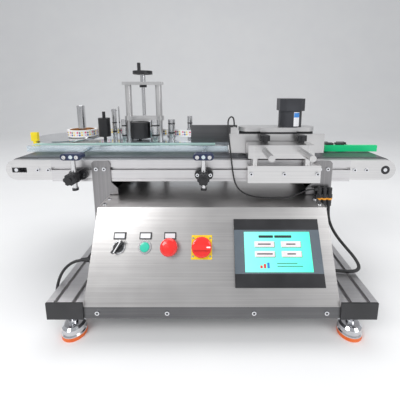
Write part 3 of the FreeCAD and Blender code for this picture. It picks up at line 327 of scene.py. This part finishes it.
mains_route = [(-243.5, -190, 148), (-267, -190, 148), (-291, -195, 142), (-310, -200, 123),
               (-320, -206, 97), (-324, -209, 68), (-325, -204, 40), (-326, -187, 17),
               (-327, -160, 5), (-328, -130, FLOOR), (-332, -75, FLOOR), (-329, -10, FLOOR),
               (-334, 60, FLOOR), (-327, 125, FLOOR), (-300, 172, FLOOR), (-258, 190, FLOOR)]
TURNS = 5.08
COIL_STEPS = 80
for step in range(COIL_STEPS + 1):
    turned = TURNS * step / COIL_STEPS
    if turned < 0.5:
        radius = BESIDE - 2 * (BESIDE - OUTER_TURN) * turned
    elif turned < 2.5:
        radius = OUTER_TURN - TURN_GAP * (turned - 0.5)
    else:
        radius = INNER_TURN + TURN_GAP * (turned - 2.5)
    layer = min(max((turned - 2.35) / 0.3, 0.0), 1.0)
    mains_route.append(round_coil(radius, -108.2 + 360 * turned, FLOOR + TURN_GAP * layer))
mains_route += [(-130, 165, 9.6), (-112, 165, 9.6)]
mains = spline("mains_lead", mains_route, 3.5)
mains.data.materials.append(cord_black)
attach(mains, "frame")
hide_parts("mains_cord", "mains_cord_coil")

harness_route = [(374, -98, 250), (374, -98, 222), (380, -105, 195), (392, -118, 171),
                 (409, -137, 150), (425, -156, 132), (431, -173, 118), (420, -183, 112),
                 (397, -183, 110), (370, -179, 110), (346.5, -179, 110)]
harness = spline("control_lead", harness_route, 4)
harness.data.materials.append(cord_black)
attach(harness, "frame")
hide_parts("control_harness")

sensor_route = [(117.5, -46, 459), (117.5, -46, 481), (107.8, -58.2, 490), (98.1, -70.4, 480.5),
                (99, -76, 457), (101, -86, 430), (104, -97, 402), (107, -107, 373),
                (110, -113, 346), (115, -114.5, 322), (124, -112, 303), (139, -109, 289.5),
                (157, -107.5, 281), (182, -110, 277.4), (216, -114, 277.6), (250, -111, 277.4),
                (280, -104, 281), (301, -99, 289), (318, -98, 295), (333, -98, 295)]
bpy.context.view_layer.update()
thread = spline("thread", sensor_route, 0)
tube = spline("tube", sensor_route, 2)
bpy.context.view_layer.update()
deps = bpy.context.evaluated_depsgraph_get()
path_mesh = bpy.data.meshes.new_from_object(thread.evaluated_get(deps))
path = [tuple(v.co) for v in path_mesh.vertices]
tube_mesh = bpy.data.meshes.new_from_object(tube.evaluated_get(deps))
bpy.data.objects.remove(thread)
bpy.data.objects.remove(tube)
bpy.data.meshes.remove(path_mesh)
sensor_lead = bpy.data.objects.new("sensor_lead", tube_mesh)
tube_mesh.materials.clear()
tube_mesh.materials.append(cord_black)
for face in tube_mesh.polygons:
    face.use_smooth = True
scene.collection.objects.link(sensor_lead)
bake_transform(sensor_lead)
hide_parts("sensor_cable")


# ---------------------------------------------------------------- materials
cabinet_steel = metal("cabinet_steel", (0.50, 0.485, 0.48), (0.66, 0.645, 0.635), (0.26, 0.42),
                      (2.5, 300, 300), 1.0, 0.10)
upright_steel = metal("upright_steel", (0.24, 0.235, 0.24), (0.36, 0.35, 0.355), (0.3, 0.45),
                      (260, 260, 3), 1.0, 0.12)
profile_metal = metal("profile_metal", (0.60, 0.59, 0.60), (0.74, 0.73, 0.735), (0.28, 0.42),
                      (2.5, 300, 300), 1.0, 0.08)
plate_metal = metal("plate_metal", (0.62, 0.615, 0.615), (0.78, 0.77, 0.765), (0.24, 0.38),
                    (2.5, 280, 280), 1.0, 0.08)
rod_metal = metal("rod_metal", (0.55, 0.55, 0.56), (0.8, 0.8, 0.81), (0.12, 0.24),
                  (400, 400, 30), 1.0, 0.05)
chrome = metal("chrome", (0.62, 0.63, 0.66), (0.78, 0.79, 0.81), (0.06, 0.12), (50, 50, 50),
               1.0, 0.01)
dark_plate = metal("dark_plate", (0.10, 0.10, 0.105), (0.17, 0.17, 0.175), (0.3, 0.45),
                   (3, 300, 300), 1.0, 0.1, 0.7)
black = plastic("black_plastic", (0.012, 0.012, 0.014), (0.022, 0.022, 0.025), (0.32, 0.48))
motor_black = plastic("motor_black", (0.030, 0.031, 0.036), (0.052, 0.054, 0.062), (0.35, 0.5),
                      400, 0.15, metallic=0.3)
red_gloss = plastic("red_gloss", (0.78, 0.018, 0.015), (0.86, 0.03, 0.025), (0.18, 0.28),
                    coat=0.4)
green_gloss = plastic("green_gloss", (0.02, 0.50, 0.34), (0.05, 0.62, 0.44), (0.2, 0.3),
                      coat=0.3)
yellow = plastic("yellow_plastic", (0.85, 0.66, 0.01), (0.93, 0.74, 0.02), (0.28, 0.4))
white_card = plastic("white_card", (0.78, 0.78, 0.80), (0.88, 0.88, 0.90), (0.4, 0.55), 500)
rubber = plastic("rubber", (0.016, 0.016, 0.018), (0.03, 0.03, 0.033), (0.5, 0.65), 1200, 0.2)
box_grey = plastic("box_grey", (0.2, 0.22, 0.25), (0.3, 0.32, 0.35))


def belt_material():
    """Dark grey belt with a fine weave."""
    n = Nodes("belt")
    x, y, z = n.place()
    weave = n.math("MULTIPLY", n.math("SINE", n.math("MULTIPLY", x, 3.2)),
                   n.math("SINE", n.math("MULTIPLY", y, 3.2)))
    clouds = n.grain(16, 3)
    fine = n.grain(700, 2)
    colour = n.ramp(clouds, (0.3, (0.040, 0.042, 0.050)), (0.7, (0.062, 0.064, 0.074)))
    rough = n.span(clouds, 0.32, 0.46)
    return n.done(n.shader(colour, rough, 0.0, n.math("ADD", n.math("MULTIPLY", weave, 0.4), fine),
                           0.12, 0.25))


def foot_material():
    """Chromed foot on an orange pad."""
    n = Nodes("foot")
    x, y, z = n.place()
    pad = n.math("LESS_THAN", z, 9.0)
    grain = n.grain(40, 2)
    steel = n.shader(n.ramp(grain, (0.3, (0.62, 0.63, 0.66)), (0.7, (0.78, 0.79, 0.81))),
                     n.span(grain, 0.07, 0.14), 1.0)
    soft = n.shader(n.ramp(grain, (0.3, (0.80, 0.13, 0.02)), (0.7, (0.90, 0.19, 0.03))),
                    n.span(grain, 0.35, 0.5), 0.0)
    mix = n.new("MixShader")
    n.link(pad, mix.inputs[0])
    n.link(steel, mix.inputs[1])
    n.link(soft, mix.inputs[2])
    return n.done(mix.outputs[0])


def label_material(name, around=None):
    """White labels with a generic print of coloured dots and diamonds in two rows."""
    n = Nodes(name)
    x, y, z = n.place()
    if around:
        dx = n.math("SUBTRACT", x, around[0])
        dy = n.math("SUBTRACT", y, around[1])
        along = n.math("MULTIPLY", n.math("ARCTAN2", dy, dx), around[2])
        outside = n.math("GREATER_THAN", n.math("SQRT", n.math("ADD", n.math("MULTIPLY", dx, dx),
                         n.math("MULTIPLY", dy, dy))), around[2] - 0.8)
    else:
        along, outside = x, 1.0
    period = 25.4
    u = n.math("MULTIPLY", n.math("FRACT", n.math("ADD", n.math("DIVIDE", along, period), 20.0)),
               period)
    colour = n.mix(n.grain(60, 2), (0.80, 0.80, 0.80), (0.90, 0.90, 0.89))
    base = 414.5 if around else 413.5
    for cu, cv, size, tint, diamond in (
            (5, 4.2, 3.0, (0.80, 0.05, 0.18), False), (5, -4.6, 2.6, (0.85, 0.25, 0.45), True),
            (12, 3.6, 3.2, (0.02, 0.02, 0.05), True), (12, -4.4, 3.0, (0.02, 0.10, 0.40), False),
            (19, 4.4, 3.0, (0.93, 0.70, 0.02), True), (19, -4.0, 3.0, (0.90, 0.62, 0.02), False)):
        du = n.math("ABSOLUTE", n.math("SUBTRACT", u, float(cu)))
        dv = n.math("ABSOLUTE", n.math("SUBTRACT", z, base + cv))
        if diamond:
            far = n.math("ADD", du, dv)
        else:
            far = n.math("SQRT", n.math("ADD", n.math("MULTIPLY", du, du),
                                        n.math("MULTIPLY", dv, dv)))
        inside = n.math("LESS_THAN", far, size)
        if outside != 1.0:
            inside = n.math("MULTIPLY", inside, outside)
        colour = n.mix(inside, colour, tint)
    if around:
        core = n.near(x, y, around[:2], around[2] - 8.0)
        colour = n.mix(core, colour, n.mix(n.grain(60, 2), (0.34, 0.14, 0.04), (0.50, 0.22, 0.07)))
    fine = n.grain(300, 2)
    return n.done(n.shader(colour, n.span(fine, 0.35, 0.5), 0.0, fine, 0.05))


def guide_material():
    """Aluminium with a pale blue film, marked by soft streaks."""
    n = Nodes("guide_film")
    streaks = n.grain(1.0, 3, (14, 90, 90))
    colour = n.ramp(streaks, (0.3, (0.50, 0.60, 0.66)), (0.7, (0.74, 0.82, 0.87)))
    return n.done(n.shader(colour, n.span(streaks, 0.16, 0.32), 0.75, streaks, 0.05, 0.4))


def deck_material():
    """Deck under a pale film, with the greyer reel tray left of it."""
    n = Nodes("deck_film")
    x, y, z = n.place()
    clouds = n.grain(11, 3)
    film = n.ramp(clouds, (0.3, (0.66, 0.74, 0.80)), (0.7, (0.82, 0.88, 0.92)))
    tray = n.ramp(clouds, (0.3, (0.50, 0.51, 0.53)), (0.7, (0.60, 0.61, 0.63)))
    on_tray = n.math("LESS_THAN", x, -322.0)
    colour = n.mix(on_tray, film, tray)
    return n.done(n.shader(colour, n.span(clouds, 0.06, 0.16), 0.85, clouds, 0.01))


# each finish: darker and lighter colour, roughness, metallic
FINISHES = {
    "steel": ((0.58, 0.58, 0.59), (0.78, 0.78, 0.79), 0.16, 1.0),
    "plate": ((0.60, 0.595, 0.595), (0.76, 0.75, 0.745), 0.26, 1.0),
    "black": ((0.012, 0.012, 0.014), (0.022, 0.022, 0.025), 0.32, 0.0),
    "navy": ((0.010, 0.016, 0.055), (0.018, 0.030, 0.085), 0.20, 0.0),
    "green": ((0.0, 0.58, 0.20), (0.0, 0.74, 0.28), 0.28, 0.0),
    "teal": ((0.40, 0.62, 0.58), (0.52, 0.73, 0.68), 0.28, 0.0),
    "yellow": ((0.84, 0.60, 0.01), (0.93, 0.70, 0.02), 0.28, 0.0),
    "hub_red": ((0.34, 0.03, 0.02), (0.46, 0.05, 0.03), 0.3, 0.0),
    "orange": ((0.88, 0.33, 0.02), (0.94, 0.42, 0.04), 0.35, 0.0),
}
SCREW = (-178.6, 143.0)


def zoned(name, base, zones):
    """One piece in several finishes: zones(n, x, y, z) gives pairs of mask and finish."""
    n = Nodes(name)
    x, y, z = n.place()
    fine = n.grain(500, 2)
    clouds = n.grain(14, 2)
    dark, light, rough, metallic = FINISHES[base]
    colour = n.mix(clouds, dark, light)
    for mask, finish in zones(n, x, y, z):
        dark, light, zone_rough, zone_metallic = FINISHES[finish]
        colour = n.mix(mask, colour, n.mix(clouds, dark, light))
        rough = n.pick(mask, rough, zone_rough)
        metallic = n.pick(mask, metallic, zone_metallic)
    rough = n.math("ADD", rough, n.math("MULTIPLY", clouds, 0.12))
    return n.done(n.shader(colour, rough, metallic, fine, 0.06))


def clamp_zones(n, x, y, z):
    """Steel post under the block, black cap at its foot, steel screws on the block's front."""
    return ((n.math("LESS_THAN", z, 381.4), "steel"), (n.math("LESS_THAN", z, 305.0), "black"),
            (n.math("LESS_THAN", y, -122.2), "steel"))


def press_zones(n, x, y, z):
    """The black nut that hangs under the top plate."""
    return ((n.math("MULTIPLY", n.near(x, y, SCREW, 12.6), n.between(z, 569.0, 577.9)), "black"),)


def exit_zones(n, x, y, z):
    """Steel arms behind the strip, and black jaws above it."""
    return ((n.math("GREATER_THAN", y, 15.2), "steel"), (n.math("GREATER_THAN", z, 396.1), "black"))


def rear_zones(n, x, y, z):
    """Steel arms behind the strip."""
    return ((n.math("GREATER_THAN", y, 52.2), "steel"),)


def surround_zones(n, x, y, z):
    """Bright rings below the black holders, and the yellow plate of the isolator."""
    down = n.math("ADD", n.math("MULTIPLY", n.math("SUBTRACT", y, SLOPE_TOP[0]), DOWN[0]),
                  n.math("MULTIPLY", n.math("SUBTRACT", z, SLOPE_TOP[1]), DOWN[1]))
    return ((n.math("GREATER_THAN", down, 75.5), "steel"), (n.between(x, 6.0, 57.0), "yellow"))


def handwheel_zones(n, x, y, z):
    """Steel screw below the black wheel, and its reddish hub."""
    above = n.math("GREATER_THAN", z, 612.5)
    return ((n.math("LESS_THAN", z, 612.5), "steel"),
            (n.math("MULTIPLY", n.near(x, y, SCREW, 7.5), above), "hub_red"))


def ring_zones(n, x, y, z):
    """Black rings round a steel post."""
    return ((n.between(z, 414.0, 419.0), "black"), (n.between(z, 446.0, 450.0), "black"))


def gland_zones(n, x, y, z):
    """Orange rings on the connectors at the right leg."""
    return ((n.math("MULTIPLY", n.math("GREATER_THAN", x, 340.0), n.between(z, 267.0, 272.0)),
             "orange"),)


def housing_zones(n, x, y, z):
    """The dark joint between the front plate and the cover."""
    return ((n.between(z, 438.2, 443.8), "black"),)


belt_mat = belt_material()
foot_mat = foot_material()
ringed = zoned("ringed_steel", "steel", ring_zones)
assigned = {
    "base_rails": profile_metal, "rail_end_caps": black, "foot_front_left": foot_mat,
    "foot_back_left": foot_mat, "foot_front_right": foot_mat, "foot_back_right": foot_mat,
    "cabinet_base_tray": dark_plate, "cabinet_shell": cabinet_steel, "hmi_panel": black,
    "control_surrounds": zoned("surrounds", "black", surround_zones), "selector_knob": black,
    "green_button": green_gloss, "estop_button": red_gloss, "isolator_knob": red_gloss,
    "control_electronics": box_grey, "conveyor_frame": profile_metal,
    "conveyor_end_plates": plate_metal, "bearing_blocks": black, "conveyor_belt": belt_mat,
    "drive_roller": chrome, "tail_roller": chrome, "drive_motors": motor_black,
    "conveyor_legs": upright_steel,
    "front_guide_clamps": zoned("clamps", "navy", clamp_zones),
    "front_guide_rail": guide_material(),
    "rear_guide_rail": zoned("rear_strip", "teal", rear_zones),
    "exit_guide_rail": zoned("exit_strip", "green", exit_zones),
    "guide_brackets": black, "wrap_stand": plate_metal,
    "clamp_block": plate_metal, "star_knob_left": black, "star_knob_right": black,
    "wrap_housing": zoned("wrap_plates", "plate", housing_zones),
    "wrap_idle_roller": rubber, "wrap_drive_roller": rubber,
    "wrap_belt": rubber, "wrap_motor": motor_black, "bottle_sensor": plate_metal,
    "label_deck": deck_material(), "deck_supports": plate_metal, "reel_mandrel": rod_metal,
    "label_roll": label_material("label_roll", (-402.5, 153.0, 48.5)), "reel_sensor": yellow,
    "black_idler": black, "traction_roller": rubber, "pinch_roller": chrome,
    "ringed_roller": ringed, "deck_posts": ringed, "crosshead": plate_metal,
    "press_frame": zoned("press", "plate", press_zones),
    "handwheel": zoned("wheel", "black", handwheel_zones), "peel_plate": dark_plate,
    "label_web": label_material("label_web"), "mains_plug": black,
    "cable_glands": zoned("glands", "black", gland_zones),
    "frame_bolts": chrome,
}
for node, material in assigned.items():
    if node in NODES:
        data = NODES[node].data
        if not data.materials:
            data.materials.append(material)
        for index in range(len(data.materials)):
            data.materials[index] = material


# ---------------------------------------------------------------- operator panel
def screen_material():
    """Lit turquoise screen, greener to the right."""
    n = Nodes("screen")
    x, y, z = n.place()
    wash = n.grain(18, 2)
    side = n.math("DIVIDE", n.math("SUBTRACT", x, 130.0), 155.0)
    value = n.math("ADD", n.math("MULTIPLY", side, 0.75), n.math("MULTIPLY", wash, 0.25))
    colour = n.ramp(value, (0.1, (0.22, 0.78, 0.66)), (0.9, (0.08, 0.80, 0.52)))
    return n.done(n.shader(colour, n.span(wash, 0.12, 0.2), 0.0, coat=0.3, glow=(colour, 0.55)))


hmi_x, hmi_top, hmi_face = 207.5, 28.25, 7.0
screen_mat = screen_material()
bezel_grey = plastic("bezel_grey", (0.10, 0.125, 0.15), (0.125, 0.15, 0.175), (0.22, 0.32),
                     coat=0.3)
button_face = plastic("button_face", (0.82, 0.72, 0.74), (0.92, 0.82, 0.84), (0.2, 0.3))
ink = plastic("ink", (0.02, 0.03, 0.04), (0.03, 0.04, 0.05), (0.3, 0.4))
print_red = plastic("print_red", (0.70, 0.05, 0.06), (0.78, 0.07, 0.08), (0.3, 0.4))
print_blue = plastic("print_blue", (0.04, 0.22, 0.62), (0.06, 0.27, 0.70), (0.3, 0.4))

panel_plate("hmi_bezel", hmi_x, hmi_top + 24.5 + 47, 200.0, 94.0, hmi_face, hmi_face + 0.25,
            bezel_grey, radius=0.5, edge=0.1)
panel_plate("hmi_screen", hmi_x, hmi_top + 72, 154.0, 86.0, hmi_face + 0.25, hmi_face + 0.5,
            screen_mat, radius=0.8, edge=0.1)
top = hmi_top + 29
for i, (dx, width) in enumerate(((-24, 34), (16, 40))):
    panel_plate("hmi_title_%d" % i, hmi_x + dx - 2, top + 10.5, width, 5.6, hmi_face + 0.5,
                hmi_face + 0.6, ink, radius=1.2, edge=0.03)
for i, (dx, du, bar) in enumerate(((-30.5, 27, 30), (31, 27, 22), (-30.5, 48, 36), (31, 48, 20))):
    panel_plate("hmi_shadow_%d" % i, hmi_x + dx + 1.2, top + du + 1.2, 46, 12.5, hmi_face + 0.5,
                hmi_face + 0.6, bezel_grey, radius=0.8, edge=0.03)
    panel_plate("hmi_key_%d" % i, hmi_x + dx, top + du, 46, 12.5, hmi_face + 0.6,
                hmi_face + 0.85, button_face, radius=0.8, edge=0.1)
    panel_plate("hmi_key_bar_%d" % i, hmi_x + dx, top + du, bar, 2.6, hmi_face + 0.85,
                hmi_face + 0.92, ink, radius=1.0, edge=0.02)
for i, high in enumerate((6, 9, 12)):
    panel_plate("hmi_graph_%d" % i, hmi_x - 40 + 8 * i, top + 78 - high / 2, 5.5, high,
                hmi_face + 0.5, hmi_face + 0.6, print_blue if i == 2 else print_red, radius=0.8,
                edge=0.03)
for i, (du, width) in enumerate(((68, 46), (74, 58))):
    panel_plate("hmi_line_%d" % i, hmi_x + 16 + width / 2 - 20, top + du, width, 1.4,
                hmi_face + 0.5, hmi_face + 0.56, ink, radius=0.5, edge=0.02)

for i, x in enumerate((-162.5, -101.5, -43.5)):
    panel_plate("legend_card_%d" % i, x, 91 - 25, 23.5, 10.5, 3.0, 3.35, white_card, radius=0.6,
                edge=0.1)


# ---------------------------------------------------------------- marks on knobs and housings
def height_out(point):
    """How far a point in metres stands out of the sloped front, in millimetres."""
    y, z = point[1] / MM - SLOPE_TOP[0], point[2] / MM - SLOPE_TOP[1]
    return y * OUT[0] + z * OUT[1]


def panel_place(point):
    """Where a point in metres lies on the sloped front: x, and down from its top edge."""
    y, z = point[1] / MM - SLOPE_TOP[0], point[2] / MM - SLOPE_TOP[1]
    return point[0] / MM, y * DOWN[0] + z * DOWN[1]


def outer_face(node, low_x=-1e9, high_x=1e9):
    """The outermost face of a node on the front: its height, middle, length and direction."""
    points = [v.co for v in NODES[node].data.vertices if low_x < v.co.x / MM < high_x]
    high = max(height_out(p) for p in points)
    places = [panel_place(p) for p in points if height_out(p) > high - 0.2]
    mid_x = (min(p[0] for p in places) + max(p[0] for p in places)) / 2
    mid_u = (min(p[1] for p in places) + max(p[1] for p in places)) / 2
    far = max(places, key=lambda p: math.hypot(p[0] - mid_x, p[1] - mid_u))
    reach = math.hypot(far[0] - mid_x, far[1] - mid_u)
    return high, (mid_x, mid_u), reach, math.atan2(far[1] - mid_u, far[0] - mid_x)


def turned_outline(middle, length, width, angle, shift=0.0):
    """A round-ended bar on the front, shifted along its own direction."""
    c, k = math.cos(angle), math.sin(angle)
    return [(middle[0] + c * (a + shift) - k * b, middle[1] + k * (a + shift) + c * b)
            for a, b in rounded(length, width, width / 2)]


pointer_white = plastic("pointer_white", (0.80, 0.80, 0.81), (0.90, 0.90, 0.91), (0.3, 0.4))
high, middle, reach, angle = outer_face("selector_knob")
plate("selector_pointer", turned_outline(middle, reach * 1.7, 2.2, angle), on_panel, high,
      high + 0.25, pointer_white, "selector", edge=0.08)
high, middle, reach, angle = outer_face("isolator_knob")
plate("isolator_mark", turned_outline(middle, 9.0, 3.0, 0.0, reach * 0.72), on_panel, high,
      high + 0.25, pointer_white, "isolator", edge=0.08)
plate_high = outer_face("control_surrounds", 6.0, 57.0)[0]
for i, (dx, du) in enumerate(((-20, -20), (20, -20), (-20, 20), (20, 20))):
    plate("isolator_screw_%d" % i, [(31.5 + dx + a, 91.0 + du + b) for a, b in disc(2.3, 16)],
          on_panel, plate_high, plate_high + 0.9, chrome, "frame", edge=0.3)


def bent_label(name, middle, radius, turn, heights, proud, material, body):
    """A thin label bent round an upright cylinder, between two turns right of its front."""
    steps = 12
    rows = [(radius, heights[0]), (radius + proud, heights[0] + 0.2),
            (radius + proud, heights[1] - 0.2), (radius, heights[1])]
    verts, faces = [], []
    for i in range(steps + 1):
        a = math.radians(turn[0] + (turn[1] - turn[0]) * i / steps)
        verts += [Vector((middle[0] + r * math.sin(a), middle[1] - r * math.cos(a), z)) * MM
                  for r, z in rows]
    for i in range(steps):
        faces += [[4 * i + j, 4 * i + 4 + j, 4 * i + 4 + (j + 1) % 4, 4 * i + (j + 1) % 4]
                  for j in range(4)]
    faces += [[0, 1, 2, 3], [4 * steps + 3, 4 * steps + 2, 4 * steps + 1, 4 * steps]]
    return mesh_piece(name, verts, faces, material, body)


MOTOR = (282.0, -8.5)
bent_label("motor_label", MOTOR, 32.5, (3, 34), (459, 499), 0.25, white_card, "wrap_unit")
bent_label("motor_label_band", MOTOR, 32.6, (4, 33), (484, 497), 0.3, print_blue, "wrap_unit")


def strain_relief():
    """A ribbed cone on the first stretch of the mains lead."""
    x0, y0, z0 = mains_route[0]
    length, ribs, around = 23.0, 5, 20
    rings = []
    for i in range(2 * ribs + 1):
        at = length * i / (2 * ribs)
        rings.append((at, 6.6 - 2.3 * at / length - (0.5 if i % 2 else 0.0)))
    verts, faces = [], []
    for at, radius in rings:
        for i in range(around):
            a = 2 * math.pi * i / around
            verts.append(Vector((x0 - at, y0 + radius * math.cos(a), z0 + radius * math.sin(a))) * MM)
    for r in range(len(rings) - 1):
        for i in range(around):
            j = (i + 1) % around
            faces.append([r * around + i, r * around + j, (r + 1) * around + j,
                          (r + 1) * around + i])
    faces += [list(range(around)), [(len(rings) - 1) * around + i for i in range(around)][::-1]]
    mesh_piece("mains_strain_relief", verts, faces, rubber, "frame", smooth=True)


strain_relief()


def bolt_boxes(node):
    """The lowest and highest corner, in metres, of each separate solid of a node."""
    build = bmesh.new()
    build.from_mesh(NODES[node].data)
    bmesh.ops.remove_doubles(build, verts=build.verts, dist=1e-6)
    left = set(build.verts)
    boxes = []
    while left:
        stack, group = [left.pop()], []
        while stack:
            vert = stack.pop()
            group.append(vert.co.copy())
            for edge in vert.link_edges:
                other = edge.other_vert(vert)
                if other in left:
                    left.remove(other)
                    stack.append(other)
        boxes.append((Vector([min(p[k] for p in group) for k in range(3)]),
                      Vector([max(p[k] for p in group) for k in range(3)])))
    build.free()
    return sorted(boxes, key=lambda box: tuple(round(c, 5) for c in box[0]))


def socket_shade_patches(name, node, body):
    """Painted shade of each bolt's socket: a flat dark six-sided patch on the head of each bolt that
    lies along Y or Z.
    """
    verts, faces = [], []
    for low, high in bolt_boxes(node):
        size = high - low
        centre = (low + high) / 2
        if abs(size.x - size.z) < 0.05 * size.x:
            wide, out = size.x, -1 if centre.y < 0 else 1
            u, v, w = Vector((1, 0, 0)), Vector((0, 0, 1)), Vector((0, out, 0))
            face = Vector((centre.x, low.y if out < 0 else high.y, centre.z))
        elif abs(size.x - size.y) < 0.05 * size.x:
            wide = size.x
            u, v, w = Vector((1, 0, 0)), Vector((0, 1, 0)), Vector((0, 0, 1))
            face = Vector((centre.x, centre.y, high.z))
        else:
            continue
        base = len(verts)
        for lift in (-0.0003, 0.0002):
            verts += [face + (u * a + v * b) * wide * 0.27 + w * lift for a, b in disc(1, 6)]
        faces += [[base + 5 - i for i in range(6)], [base + 6 + i for i in range(6)]]
        faces += [[base + i, base + (i + 1) % 6, base + 6 + (i + 1) % 6, base + 6 + i]
                  for i in range(6)]
    if verts:
        # the black patches are painted shade standing in for the shade inside the socket recesses
        mesh_piece(name, verts, faces, rubber, body)


socket_shade_patches("bolt_socket_shade", "frame_bolts", "frame")


# ---------------------------------------------------------------- stage and light
def studio():
    """Pale floor that runs up behind the machine, soft light from above and both sides."""
    n = Nodes("studio_floor")
    clouds = n.grain(3, 2)
    floor_mat = n.done(n.shader(n.ramp(clouds, (0.3, (0.88, 0.88, 0.885)), (0.7, (0.9, 0.9, 0.9))),
                                n.span(clouds, 0.7, 0.85), 0.0, specular=0.2))
    profile = [(-6.0, 0.0), (2.6, 0.0)]
    profile += [(2.6 + 1.6 * math.sin(math.radians(a)), 1.6 - 1.6 * math.cos(math.radians(a)))
                for a in range(9, 91, 9)]
    profile.append((4.2, 6.0))
    verts = [(x, y, z) for y, z in profile for x in (-7.0, 7.0)]
    faces = [[2 * i, 2 * i + 1, 2 * i + 3, 2 * i + 2] for i in range(len(profile) - 1)]
    mesh = bpy.data.meshes.new("backdrop")
    mesh.from_pydata(verts, [], faces)
    for face in mesh.polygons:
        face.use_smooth = True
    floor = bpy.data.objects.new("backdrop", mesh)
    scene.collection.objects.link(floor)
    mesh.materials.append(floor_mat)

    world = bpy.data.worlds.new("World")
    scene.world = world
    world.use_nodes = True
    background = world.node_tree.nodes["Background"]
    background.inputs[0].default_value = (0.95, 0.97, 1.0, 1)
    background.inputs[1].default_value = 0.5

    def area(name, place, look, size, power, colour=(1, 1, 1)):
        light = bpy.data.lights.new(name, "AREA")
        light.shape = "RECTANGLE"
        light.size, light.size_y = size
        light.energy = power
        light.color = colour
        lamp = bpy.data.objects.new(name, light)
        scene.collection.objects.link(lamp)
        lamp.location = place
        lamp.rotation_euler = (Vector(look) - Vector(place)).to_track_quat("-Z", "Y").to_euler()

    area("key", (-1.6, -2.0, 2.4), (0, 0, 0.3), (1.6, 1.2), 48)
    area("fill", (2.0, -1.8, 1.6), (0, 0, 0.3), (1.2, 1.6), 20)
    area("top", (0, 0.2, 2.6), (0, 0, 0.2), (2.4, 1.4), 26)


studio()
scene.view_settings.view_transform = "Standard"
scene.view_settings.look = "None"
